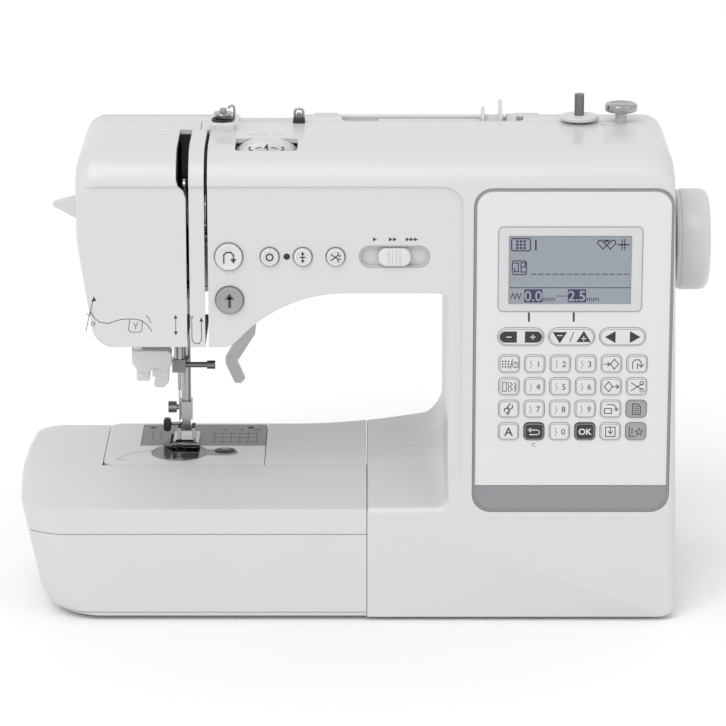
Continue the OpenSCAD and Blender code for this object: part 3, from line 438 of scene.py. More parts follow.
class MaterialShop:
    """Builds materials and the node group that they share."""

    GROUP = "surface_grain"
    DRIFT_SCALE = 22.0
    COAT_ROUGHNESS = 0.18

    @classmethod
    def grain_group(cls) -> bpy.types.NodeTree:
        """The shared group: drifts colour and roughness and adds a fine grain."""
        known = bpy.data.node_groups.get(cls.GROUP)
        if known:
            return known
        tree = bpy.data.node_groups.new(cls.GROUP, "ShaderNodeTree")
        sockets = (("Color", "NodeSocketColor"), ("Roughness", "NodeSocketFloat"),
                   ("Mottle", "NodeSocketFloat"),
                   ("Grain Scale", "NodeSocketFloat"), ("Grain Height", "NodeSocketFloat"),
                   ("Stretch", "NodeSocketVector"))
        for name, kind in sockets:
            tree.interface.new_socket(name, in_out="INPUT", socket_type=kind)
        for name, kind in (("Color", "NodeSocketColor"), ("Roughness", "NodeSocketFloat"),
                           ("Normal", "NodeSocketVector")):
            tree.interface.new_socket(name, in_out="OUTPUT", socket_type=kind)
        given = add_node(tree, "NodeGroupInput").outputs
        where = add_node(tree, "ShaderNodeTexCoord").outputs["Object"]
        drawn = add_node(tree, "ShaderNodeVectorMath", {0: where, 1: given["Stretch"]}, "MULTIPLY").outputs[0]
        drift = add_node(tree, "ShaderNodeTexNoise",
                         {"Vector": drawn, "Scale": cls.DRIFT_SCALE, "Detail": 3.0})
        centred = add_node(tree, "ShaderNodeMath", {0: drift.outputs["Fac"], 1: 0.5}, "SUBTRACT").outputs[0]
        amount = add_node(tree, "ShaderNodeMath", {0: centred, 1: given["Mottle"], 2: 1.0}, "MULTIPLY_ADD")
        tint = add_node(tree, "ShaderNodeVectorMath", {0: given["Color"], "Scale": amount.outputs[0]},
                        "SCALE")
        rough = add_node(tree, "ShaderNodeMath", {0: centred, 1: given["Mottle"], 2: given["Roughness"]},
                         "MULTIPLY_ADD")
        fine = add_node(tree, "ShaderNodeTexNoise",
                        {"Vector": drawn, "Scale": given["Grain Scale"], "Detail": 2.0})
        height = add_node(tree, "ShaderNodeMath", {0: fine.outputs["Fac"], 1: given["Grain Height"]},
                          "MULTIPLY")
        bump = add_node(tree, "ShaderNodeBump",
                        {"Height": height.outputs[0], "Strength": 0.6, "Distance": 1.0})
        add_node(tree, "NodeGroupOutput", {"Color": tint.outputs[0], "Roughness": rough.outputs[0],
                                           "Normal": bump.outputs["Normal"]})
        return tree

    @classmethod
    def build(cls, spec: Finish) -> bpy.types.Material:
        """Makes one finish's material.

        Args:
            spec: The finish.

        Returns:
            The node-based material.
        """
        material = bpy.data.materials.new(spec.name)
        material.use_nodes = True
        nodes, link = material.node_tree.nodes, material.node_tree.links.new
        shader = nodes["Principled BSDF"]
        grain = nodes.new("ShaderNodeGroup")
        grain.node_tree = cls.grain_group()
        grain.inputs["Color"].default_value = (*spec.color, 1.0)
        grain.inputs["Roughness"].default_value = spec.roughness
        grain.inputs["Mottle"].default_value = spec.mottle
        grain.inputs["Grain Scale"].default_value = spec.grain_scale
        grain.inputs["Grain Height"].default_value = spec.grain * MM
        grain.inputs["Stretch"].default_value = spec.stretch
        link(grain.outputs["Color"], shader.inputs["Base Color"])
        link(grain.outputs["Roughness"], shader.inputs["Roughness"])
        if spec.grain > 0:
            link(grain.outputs["Normal"], shader.inputs["Normal"])
        shader.inputs["Metallic"].default_value = spec.metallic
        shader.inputs["Coat Weight"].default_value = spec.coat
        shader.inputs["Coat Roughness"].default_value = cls.COAT_ROUGHNESS
        shader.inputs["Transmission Weight"].default_value = spec.transmission
        if spec.glow > 0:
            shader.inputs["Emission Color"].default_value = (*spec.color, 1.0)
            shader.inputs["Emission Strength"].default_value = spec.glow
        material.diffuse_color = (*spec.color, 1.0)
        return material


def dress(piece: Piece, finish: Finishes, body: str,
          replaces: Sequence[str] = (), angle: float = 32.0) -> Piece:
    """Gives a piece its finish and the body that it rides on.

    Args:
        piece: The piece.
        finish: Its finish.
        body: The body that it moves with.
        replaces: CAD nodes that it stands for.
        angle: Edges sharper than this stay sharp.

    Returns:
        The piece.
    """
    piece.data.materials.clear()
    piece.data.materials.append(finish.material())
    smooth(piece, angle)
    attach(piece, body)
    if replaces:
        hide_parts(*replaces)
    LOG.info("%s rides on %s", piece.name, body)
    return piece


# ------------------------------------------------------------------ repeats
class Pattern(Enum):
    """How a repeated piece is set out."""

    ROW = "row"
    RING = "ring"
    PLACES = "places"


@dataclass
class Repeat:
    """One piece repeated by a geometry node tree and then made a plain mesh.

    Attributes:
        pattern: A row, a ring about an axis, or listed places.
        finish: The finish of the copies.
        count: Copies in a row or ring.
        start: Where the first copy's origin goes, in mm.
        step: A row's pitch in mm, or the ring's axis as a unit vector.
        places: The points of PLACES, in mm.
    """

    pattern: Pattern
    finish: Finishes
    count: int = 1
    start: Point3 = (0.0, 0.0, 0.0)
    step: Point3 = (0.0, 0.0, 0.0)
    places: Sequence[Point3] = ()

    def tree(self) -> bpy.types.GeometryNodeTree:
        """The pattern's node tree, made once."""
        name = f"repeat_{self.pattern.value}"
        known = bpy.data.node_groups.get(name)
        if known:
            return known
        tree = bpy.data.node_groups.new(name, "GeometryNodeTree")
        for label, kind in (("Piece", "Geometry"), ("Count", "Int"), ("Start", "Vector"), ("Step", "Vector"),
                            ("Places", "Object"), ("Material", "Material")):
            tree.interface.new_socket(label, in_out="INPUT", socket_type=f"NodeSocket{kind}")
        tree.interface.new_socket("Repeated", in_out="OUTPUT", socket_type="NodeSocketGeometry")
        nodes, links = tree.nodes, tree.links
        given, made = nodes.new("NodeGroupInput"), nodes.new("NodeGroupOutput")
        copies = nodes.new("GeometryNodeInstanceOnPoints")
        links.new(given.outputs["Piece"], copies.inputs["Instance"])
        if self.pattern is Pattern.PLACES:
            points = nodes.new("GeometryNodeObjectInfo")
            links.new(given.outputs["Places"], points.inputs["Object"])
            links.new(points.outputs["Geometry"], copies.inputs["Points"])
        else:
            points = nodes.new("GeometryNodeMeshLine")
            points.mode = "OFFSET"
            links.new(given.outputs["Count"], points.inputs["Count"])
            links.new(given.outputs["Start"], points.inputs["Start Location"])
            links.new(points.outputs["Mesh"], copies.inputs["Points"])
        if self.pattern is Pattern.ROW:
            links.new(given.outputs["Step"], points.inputs["Offset"])
        if self.pattern is Pattern.RING:
            points.inputs["Offset"].default_value = (0.0, 0.0, 0.0)
            self.spread(tree, given, copies)
        solid = nodes.new("GeometryNodeRealizeInstances")
        paint = nodes.new("GeometryNodeSetMaterial")
        links.new(copies.outputs["Instances"], solid.inputs["Geometry"])
        links.new(solid.outputs["Geometry"], paint.inputs["Geometry"])
        links.new(given.outputs["Material"], paint.inputs["Material"])
        links.new(paint.outputs["Geometry"], made.inputs["Repeated"])
        return tree

    @staticmethod
    def spread(tree: bpy.types.GeometryNodeTree, given: bpy.types.Node, copies: bpy.types.Node) -> None:
        """Turns each copy of a ring by its share of a full turn."""
        index = add_node(tree, "GeometryNodeInputIndex").outputs["Index"]
        share = add_node(tree, "ShaderNodeMath", {0: index, 1: given.outputs["Count"]}, "DIVIDE").outputs[0]
        turn = add_node(tree, "ShaderNodeMath", {0: share, 1: 2 * math.pi}, "MULTIPLY").outputs[0]
        about = add_node(tree, "ShaderNodeVectorMath", {0: given.outputs["Step"], "Scale": turn}, "SCALE")
        euler = add_node(tree, "FunctionNodeEulerToRotation", {"Euler": about.outputs["Vector"]})
        tree.links.new(euler.outputs["Rotation"], copies.inputs["Rotation"])

    def apply(self, piece: Piece) -> Piece:
        """Repeats a piece and returns it as one plain mesh."""
        tree = self.tree()
        modifier = piece.modifiers.new("repeat", "NODES")
        modifier.node_group = tree
        sockets = tree.interface.items_tree
        keys = {socket.name: socket.identifier for socket in sockets if socket.in_out == "INPUT"}
        scale = 1.0 if self.pattern is Pattern.RING else MM
        modifier[keys["Count"]] = self.count
        modifier[keys["Start"]] = [c * MM for c in self.start]
        modifier[keys["Step"]] = [c * scale for c in self.step]
        modifier[keys["Material"]] = self.finish.material()
        points = None
        if self.places:
            mesh = bmesh.new()
            for place in self.places:
                mesh.verts.new(place)
            points = make_object("places", mesh)
            modifier[keys["Places"]] = points
        settle(piece)
        if points:
            bpy.data.objects.remove(points)
        return piece


# ------------------------------------------------------------------ printing
@dataclass
class PrintSheet:
    """Flat marks of one ink on a level or an upright front face.

    Attributes:
        face: Y of an upright face, or Z of a level one.
        thickness: Thickness of the ink.
        plane: FRONT for an upright face and PLAN for a level one.
        mesh: The ink laid down so far.
    """

    face: float
    thickness: float = 0.07
    plane: Plane = Plane.FRONT
    mesh: bmesh.types.BMesh = field(default_factory=bmesh.new)

    def level(self, share: float) -> float:
        """Depth at a share of the ink's thickness, 1 being its outer face."""
        out = 1 if self.plane is Plane.PLAN else -1
        return self.face + out * (self.thickness * share - 0.02 * (1 - share))

    def row(self, outline: Sequence[Point2], share: float) -> list[bmesh.types.BMVert]:
        """Vertices of an outline at a share of the ink's thickness."""
        return [self.mesh.verts.new(self.plane.place(u, v, self.level(share))) for u, v in outline]

    def area(self, outline: Sequence[Point2]) -> None:
        """Prints a filled outline."""
        front, back = self.row(outline, 1), self.row(outline, 0)
        self.mesh.faces.new(front)
        self.mesh.faces.new(back[::-1])
        self.bridge(front, back)

    def bridge(self, front: Sequence[bmesh.types.BMVert], back: Sequence[bmesh.types.BMVert]) -> None:
        """Joins two rows that have the same number of points."""
        count = len(front)
        for i in range(count):
            j = (i + 1) % count
            self.mesh.faces.new((front[j], front[i], back[i], back[j]))

    def line(self, points: Sequence[Point2], width: float = 0.45) -> None:
        """Prints a line through points."""
        for start, end in zip(points, points[1:]):
            along = Vector(end) - Vector(start)
            if along.length < 1e-6:
                continue
            along.normalize()
            side = Vector((-along.y, along.x)) * width / 2
            a, b = Vector(start) - along * width / 2, Vector(end) + along * width / 2
            self.area([tuple(a - side), tuple(b - side), tuple(b + side), tuple(a + side)])

    def loop(self, outline: Sequence[Point2], width: float = 0.35) -> None:
        """Prints a closed line of even width just inside an outline."""
        inner = inset(outline, width)
        front_out, front_in = self.row(outline, 1), self.row(inner, 1)
        back_out, back_in = self.row(outline, 0), self.row(inner, 0)
        self.bridge(front_in, front_out)
        self.bridge(back_out, back_in)
        self.bridge(front_out, back_out)
        self.bridge(back_in, front_in)

    def disc(self, at: Point2, radius: float) -> None:
        """Prints a dot."""
        self.area(arc(at, radius, 0, 345, 23))

    def circle(self, at: Point2, radius: float, width: float = 0.45) -> None:
        """Prints a ring."""
        self.loop(arc(at, radius, 0, 351, 39), width)

    def text(self, words: str, at: Point2, height: float, bold: float = 0.0, turn: float = 0.0) -> None:
        """Prints numbers or a plain key legend, centred.

        Args:
            words: What to print.
            at: Middle of the words.
            height: Height of a capital.
            bold: Extra weight in mm.
            turn: Rotation in degrees.
        """
        curve = bpy.data.curves.new("legend", "FONT")
        curve.body = words
        curve.size = height / 0.70
        curve.align_x = "CENTER"
        curve.resolution_u = 3
        curve.offset = bold
        curve.extrude = self.thickness / 2
        holder = bpy.data.objects.new("legend", curve)
        bpy.context.scene.collection.objects.link(holder)
        data = bpy.data.meshes.new_from_object(holder)
        spin = math.radians(turn)
        for vertex in data.vertices:
            u, v, depth = vertex.co.x, vertex.co.y - height / 2, vertex.co.z
            place = (at[0] + u * math.cos(spin) - v * math.sin(spin),
                     at[1] + u * math.sin(spin) + v * math.cos(spin))
            vertex.co = self.plane.place(*place, self.level(0.5 + depth / self.thickness))
        self.mesh.from_mesh(data)
        bpy.data.objects.remove(holder)
        bpy.data.meshes.remove(data)

    def make(self, name: str, finish: Finishes, body: str) -> Piece:
        """Makes the printed piece."""
        bmesh.ops.remove_doubles(self.mesh, verts=self.mesh.verts, dist=1e-5)
        bmesh.ops.recalc_face_normals(self.mesh, faces=self.mesh.faces)
        return dress(make_object(name, self.mesh), finish, body, angle=20)


# ------------------------------------------------------------------ housings
@dataclass
class Housing:
    """The moulded covers of the column, arm, head and base."""

    head_left: float = -168.0
    column_left: float = 48.5
    column_right: float = 185.0
    top: float = 285.0
    arm_under: float = 201.0
    head_under: float = 168.5
    foot: float = 2.5
    front: float = -87.0
    rear: float = 88.0
    wall: float = 2.8
    gap: float = 0.4
    shoulder: float = 24.0
    flat_rear: float = 20.0
    slope_rear: float = 71.7
    slope_run: float = 51.7
    slope_drop: float = 14.75
    rear_radius: float = 22.0
    rear_centre: float = 66.0
    rear_drop: float = 36.0
    throat_x: float = -11.5
    throat_radius: float = 84.0
    seam_x: float = 1.0
    bed: float = 82.0
    bed_edge: float = 70.0
    bed_front: float = -38.5
    bed_rear: float = 47.5
    arm_face: float = -85.0
    needle_x: float = -113.3
    needle_y: float = 3.0
    above: float = 100.0
    slot_end: float = -22.0
    lifter: Point2 = (-70.0, 34.0)
    trough: tuple[Point2, Point2] = ((-14.0, 1.5), (95.0, 41.0))
    deck: tuple[Point2, Point2] = ((-34.5, 43.0), (109.5, 93.0))
    dip: tuple[Point2, Point2] = ((-76.0, -4.0), (-42.0, 60.0))
    screws: tuple[Point2, ...] = ((-140.0, 180.0), (-60.0, 214.0), (40.0, 214.0), (60.0, 40.0), (176.0, 30.0),
                                  (172.0, 262.0))

    def top_at(self, y: float) -> float:
        """Height of the arm's top at a depth."""
        level = self.front + self.shoulder
        if y < level:
            return self.top - self.shoulder + math.sqrt(max(0.0, self.shoulder ** 2 - (level - y) ** 2))
        if y < self.flat_rear:
            return self.top
        if y < self.slope_rear:
            return self.top - (y - self.flat_rear) / self.slope_run * self.slope_drop
        fall = math.sqrt(max(0.0, self.rear_radius ** 2 - (y - self.rear_centre) ** 2))
        return self.top - self.rear_drop + fall

    def bed_at(self, y: float) -> float:
        """Height of the base beside the column at a depth."""
        if y < self.bed_front:
            rise = (self.bed - self.bed_edge) * (y - self.front) / (self.bed_front - self.front)
            return self.bed_edge + rise - edge_drop(y - self.front, 3.5)
        return self.bed

    def base_left(self, y: float) -> float:
        """Left end of the base at a depth: it narrows into the column at the rear."""
        if y < self.bed_rear:
            return self.seam_x
        reach = min(1.0, (y - self.bed_rear) / (self.rear - 8 - self.bed_rear))
        edge = -40 + (self.column_left + 40) * reach ** (1 / 1.8)
        return min(max(self.seam_x, edge), self.column_left - 0.5)

    def ring(self, y: float, depth: float, skin: float) -> list[Point3]:
        """Outline of the body at one depth.

        Args:
            y: Depth at which the form is read.
            depth: Depth at which the ring is placed.
            skin: How far the ring lies inside the outer form.

        Returns:
            The ring's points, anticlockwise from the front.
        """
        edge = min(y - self.front, self.rear - y)
        side = edge_drop(edge, 9.0) + skin
        column = edge_drop(edge, 3.0) + skin
        under = edge_drop(edge, 4.0) + skin
        top = self.top_at(y) - skin
        right = self.column_right - edge_drop(edge, 5.0) - skin
        corner = 13.0
        foot = self.foot if skin == 0 else -8.0
        left = self.base_left(y) + skin
        bed = self.bed_at(y) - skin
        room = max(0.3, self.column_left + column - left)
        sweep = min(6.0 + 16.0 * min(1.0, max(0.0, (y - self.front) / 80.0)), room * 0.7)
        lip = min(1.5, room * 0.2)
        head = self.head_left + side
        reach = self.throat_radius
        throat = (self.throat_x, self.arm_under - reach + under)
        neck = throat[0] - reach * math.sin(math.pi / 4)
        neck -= self.arm_under - reach * (1 - math.cos(math.pi / 4)) - self.head_under
        neck += 9 * (1 - 2 * math.cos(math.pi / 4))
        outline = [(left, foot), (left + 0.4 * room, foot)]
        outline += arc((right - 6, foot + 6), 6, 270, 360, 6) if skin == 0 else [(right, foot)] * 7
        outline += [(right - 2.6, 130.0)]
        outline += arc((right - 5.5 - corner, top - corner), corner, 0, 90, 10)
        outline += [(60.0, top), (-60.0, top)]
        outline += arc((head + corner, top - corner), corner, 90, 180, 10)
        outline += [(head, self.top - 53), (head + 4.6, self.top - 85)]
        outline += arc((head + 19, self.head_under + under + 11), 11, 187, 270, 8)
        outline += arc((neck, self.head_under + under + 9), 9, 270, 315, 5)
        outline += arc(throat, reach, 135, 90, 14)
        outline += arc((self.column_left + column - 7, self.arm_under + under - 7), 7, 90, 0, 7)
        outline += arc((self.column_left + column - sweep, bed + sweep), sweep, 360, 270, 10)
        outline += arc((left + lip, bed - lip), lip, 90, 180, 3)
        return [(px, depth, pz) for px, pz in outline]

    def solid(self, name: str, skin: float) -> Piece:
        """The closed body, or its cavity when a skin is given."""
        front_steps = [0, 0.05, 0.2, 0.5, 1.0, 1.7, 2.6, 3.6, 5, 7, 9.5, 13, 17, 20.5, 24]
        levels = [self.front + step for step in front_steps]
        levels += [-55, -48, self.bed_front - 0.3, self.bed_front, 0, 20, 34, self.bed_rear, 52, 55.6, 58, 61,
                   64,
                   66, 68, 70, 71.7, 73, 74.5, 76]
        levels += [self.rear - step for step in (10, 8.05, 8, 6.5, 5, 3.8, 2.7, 1.8, 1.0, 0.5, 0.15, 0)]
        middle = (self.front + self.rear) / 2
        squeeze = (self.rear - middle - skin) / (self.rear - middle)
        rings = [self.ring(y, middle + (y - middle) * squeeze, skin) for y in levels]
        return loft(name, rings)

    def pocket(self, name: str, area: tuple[Point2, Point2], floor: float, radius: float,
               skin: float) -> Piece:
        """A recess in the arm's top, or the space that its walls take."""
        low = (area[0][0] - skin, area[0][1] - skin)
        high = (area[1][0] + skin, area[1][1] + skin)
        outline = rounded_box(low, high, radius + skin)
        return slab(name, outline, Plane.PLAN, floor - skin, self.top + 12, low_edge=0.0 if skin else 2.0)

    def pockets(self, skin: float) -> list[Piece]:
        """The recesses for the reel, the handle and the thread."""
        return [self.pocket("reel_recess", self.trough, self.top - 24, 5, skin),
                self.pocket("handle_recess", self.deck, self.top - 26, 5, skin),
                self.pocket("thread_recess", self.dip, self.top - 9, 7, skin)]

    def recess(self, skin: float) -> Piece:
        """The shallow step that sets the arm's front face back, with sloped walls."""
        outline = rounded_box((self.head_left - 8, self.bed + 2), (self.column_left + 7, self.top - 20.5), 11,
                              8)
        back = self.arm_face + skin
        wide, narrow = inset(outline, -1.6), inset(outline, 0)
        rings = [[(x, self.front - 3, z) for x, z in inset(outline, -3.0)],
                 [(x, self.front, z) for x, z in wide], [(x, back, z) for x, z in narrow]]
        return loft("arm_step", rings)

    def build(self, panel: ControlPanel, controls: Controls) -> None:
        """Makes the four covers.

        Args:
            panel: The control panel, whose seat is cut.
            controls: The buttons and slider, whose holes are cut.
        """
        shell = combine(self.solid("shell", 0.0), self.pockets(0.0) + [self.recess(0.0)], "DIFFERENCE")
        cavity = combine(self.solid("cavity", self.wall), self.pockets(self.wall) + [self.recess(self.wall)],
                         "DIFFERENCE")
        combine(shell, [cavity], "DIFFERENCE")
        combine(shell, self.openings() + panel.cutters() + controls.cutters(), "DIFFERENCE")
        self.divide(shell)
        self.fasten()

    def openings(self) -> list[Piece]:
        """Solids that cut the holes of the head, top, right side and rear."""
        nx, ny = self.needle_x, self.needle_y
        lifter_x, lifter_y = self.lifter
        cuts = [
            box("head_floor", (nx - 36, ny - 24, self.head_under - 5),
                (nx + 33, ny + 40, self.head_under + 5.5)),
            box("lifter_slot", (lifter_x - 9, lifter_y - 1, self.head_under - 5),
                (lifter_x + 22, lifter_y + 6, 198)),
            slab("dial_window", rounded_box((-75.7, -71.5), (-39.3, -46), 2), Plane.PLAN, 271, 300),
            lathe("wheel_hole", [(0, 15.5), (40, 15.5)], (165, ny, 212), Plane.SIDE),
            slab("switch_hole", rounded_box((-40.3, 32.7), (-19.7, 47.3), 1.2), Plane.SIDE, 176, 190),
            slab("inlet_hole", rounded_box((21.7, 20.7), (46.3, 39.3), 2.5), Plane.SIDE, 176, 190),
            slab("jack_hole", rounded_box((27.7, 43.7), (40.3, 56.3), 6), Plane.SIDE, 176, 190),
            slab("winder_hole", rounded_box((121.3, -6.5), (136.3, 6.5), 6.4), Plane.PLAN, 276, 296),
            lathe("stop_hole", [(0, 3.7), (20, 3.7)], (152.8, 0, 276)),
            slab("lever_slot", rounded_box((-21.6, 203), (-14.4, 244), 1.5), Plane.SIDE, -175, -154),
            lathe("handle_bearing", [(0, 2.55), (184, 2.55)], (-54.5, 76, 264.5), Plane.SIDE, 24)]
        vent = slab("vents", rounded_box((118, 108), (121, 140), 1.4), Plane.FRONT, 80, 90)
        cuts.append(Repeat(Pattern.ROW, Finishes.SHELL, 8, step=(6, 0, 0)).apply(vent))
        cuts += [lathe("screw_well", [(0, 3.4), (10, 3.4)], (x, 80, z), Plane.FRONT, 24)
                 for x, z in self.screws]
        return cuts

    def fasten(self) -> None:
        """The screws in the rear cover's wells and the cheeks that carry the spool pin."""
        head = lathe("housing_screws", [(0, 0), (0, 2.9), (1.5, 2.9), (2.1, 2.3), (2.3, 1.2), (2.3, 0)],
                     (0, 84, 0),
                     Plane.FRONT, 32)
        combine(head, [box("slot", (-1.9, 85.2, -0.35), (1.9, 87, 0.35)), box("slot", (-0.35, 85.2, -1.9),
                                                                           (0.35, 87, 1.9))], "DIFFERENCE")
        Repeat(Pattern.PLACES, Finishes.STEEL, places=[(x, 0, z) for x, z in self.screws]).apply(head)
        dress(head, Finishes.STEEL, "machine", ["housing_screws"])
        cheeks = []
        for low in (13.0, 28.5):
            outline = [(84, 260.5), (95.5, 260.5), (95.5, 279.5)] + arc((92.8, 279.5), 2.7, 0, 90, 5) \
                + arc((86.7, 279.5), 2.7, 90, 180, 5)
            cheek = slab("cheek", outline, Plane.FRONT, low, low + 2.5, 0.4, 0.4)
            cheeks.append(combine(cheek, [lathe("cheek_bore", [(0, 2.1), (10, 2.1)], (88, low - 3, 279),
                                                Plane.FRONT,
                                                32)], "DIFFERENCE"))
        dress(join("reel_cheeks", cheeks), Finishes.SHELL, "machine")

    def divide(self, shell: Piece) -> None:
        """Parts the shell into its covers along their joints."""
        nx = self.needle_x
        slot_left, slot_neck = nx + 3.8, nx + 9.3
        strip = (nx + 11.1, nx + 19.9)
        slot_right = nx + 21.9
        half = self.gap / 2
        low, high = self.above, self.top + 20
        near, far = self.front - 3, self.rear + 3
        front = combine(box("front_zone", (slot_right, near, low), (200, self.slot_end, high)), [
            box("front_zone_top", (strip[0] + 5, self.slot_end - 0.1, low), (200, -half, high)),
            box("front_zone_base", (self.seam_x + half, near, -12), (200, -half, low + 1))], "UNION")
        rear = combine(box("rear_zone", (-200, half, low), (200, far, high)), [
            box("rear_zone_base", (self.seam_x + half, half, -12), (200, far, low + 1))], "UNION")
        face_outline = [(-200, low), (slot_neck, low), (slot_neck, self.top - 27),
                        (slot_neck - 1.2, self.top - 23),
                        (slot_left + 1.2, self.top - 20), (slot_left, self.top - 16), (slot_left, high),
                        (-200, high)]
        face = combine(slab("face_zone", face_outline, Plane.FRONT, near, self.slot_end), [
            box("face_zone_top", (-200, self.slot_end - 0.1, low), (strip[0] + 5 - self.gap, -half, high))],
                       "UNION")
        guide = box("guide_zone", (strip[0], near, low), (strip[1], self.slot_end - self.gap, high))
        parts = (("front_housing", front), ("rear_housing", rear), ("face_cover", face),
                 ("thread_guide_strip", guide))
        for name, zone in parts:
            cover = combine(copy_of(shell, f"{name}_skin"), [zone], "INTERSECT")
            dress(cover, Finishes.SHELL, "machine", [name], angle=28)
        bpy.data.objects.remove(shell)


# ------------------------------------------------------------------ bed
@dataclass
class Bed:
    """The slide-off bed extension with its door, which fits round the free arm."""

    left: float = -206.5
    front: float = -87.0
    edge: float = 70.0
    top: float = 82.0
    foot: float = 2.5
    seam_x: float = 0.8
    arm_left: float = -158.0
    arm_front: float = -38.5
    arm_rear: float = 47.5
    wall: float = 2.4
    gap: float = 0.4
    door_top: float = 54.0
    hinge: Point2 = (-85.5, 7.1)

    def left_at(self, z: float) -> float:
        """Left end of the bed at a height: it leans in towards the table."""
        if z > 50:
            lean = 5 * max(0.0, (76 - z) / 26)
        else:
            lean = 5 + 6 * (50 - z) / 28 if z > 22 else 11.0
        round_in = edge_drop(z - self.foot, 20.0) * 0.95
        return self.left + lean + round_in

    def ring(self, z: float, height: float, skin: float) -> list[Point3]:
        """Plan of the bed at one height."""
        if z <= self.edge:
            front = self.front + edge_drop(z - self.foot, 2.0)
        else:
            front = self.front + (z - self.edge) / (self.top - self.edge) * (self.arm_front - self.front)
        crest = edge_drop(self.top - z, 4.0) if z > self.top - 4 else 0.0
        left = self.left_at(z) + skin + crest
        front += skin
        rear = self.arm_rear - skin - crest
        right = self.seam_x + (9 if skin else 0)
        radius = 24.0
        outline = [(right, front)] + [(right, rear)]
        outline += arc((left + 18, rear - 16), 16, 90, 168, 8)
        outline += [(left + 0.3, 6.0), (left, front + radius + 1.0)]
        outline += arc((left + radius, front + radius), radius, 182, 270, 14)
        return [(x, y if i else front, height) for i, (x, y) in enumerate(outline)]

    def solid(self, name: str, skin: float) -> Piece:
        """The closed bed, or its cavity when a skin is given."""
        levels = [self.foot + step for step in (0, 0.3, 0.8, 1.5, 2.5, 4, 6, 9, 13, 17, 20)]
        levels += [30, 40, 50, 60, 66, 68.6, 69.4, self.edge, 70.6, 71.6, 74, 76, 78, 79, 80, 80.8, 81.4,
                   81.8, 82]
        middle = (self.foot + self.top) / 2
        squeeze = (self.top - middle - skin) / (self.top - middle)
        return loft(name, [self.ring(z, middle + (z - middle) * squeeze, skin) for z in levels])

    def door_zone(self, name: str, grow: float) -> Piece:
        """The part of the front that folds down; its top edge is an arc about the hinge."""
        radius = self.door_top - self.hinge[1] + grow
        drum = lathe(name, [(0, radius), (260, radius)], (-215, *self.hinge), Plane.SIDE, 180)
        low = (-215, self.front - 2, 5.6 - grow * 1.1)
        return combine(drum, [box("door_band", low, (self.seam_x + 2, self.front + 15 + grow, 90))],
                       "INTERSECT")

    def build(self) -> None:
        """Makes the extension and its door."""
        shell = combine(self.solid("bed_skin", 0.0), [
            self.solid("bed_cavity", self.wall),
            box("arm_notch", (self.arm_left - self.gap, self.arm_front - self.gap, -5), (60, 60, 90))],
                        "DIFFERENCE")
        combine(shell, [slab("bed_lining", self.lining(), Plane.PLAN, self.foot + 0.3, self.top - 3.5)],
                "UNION")
        door = combine(copy_of(shell, "accessory_door_skin"), [self.door_zone("door_zone", 0.0)], "INTERSECT")
        combine(shell, [self.door_zone("door_opening", self.gap)], "DIFFERENCE")
        shell.name = "bed_extension_skin"
        dress(shell, Finishes.SHELL, "bed_extension", ["bed_extension"], angle=28)
        dress(door, Finishes.SHELL, "accessory_door", ["accessory_door"], angle=28)

    def lining(self) -> list[Point2]:
        """Plan of the inner wall that faces the free arm."""
        outer_x, outer_y = self.arm_left - self.gap, self.arm_front - self.gap
        return [(self.seam_x, outer_y), (outer_x, outer_y), (outer_x, self.arm_rear - 1),
                (outer_x - self.wall, self.arm_rear - 1), (outer_x - self.wall, outer_y - self.wall),
                (self.seam_x, outer_y - self.wall)]


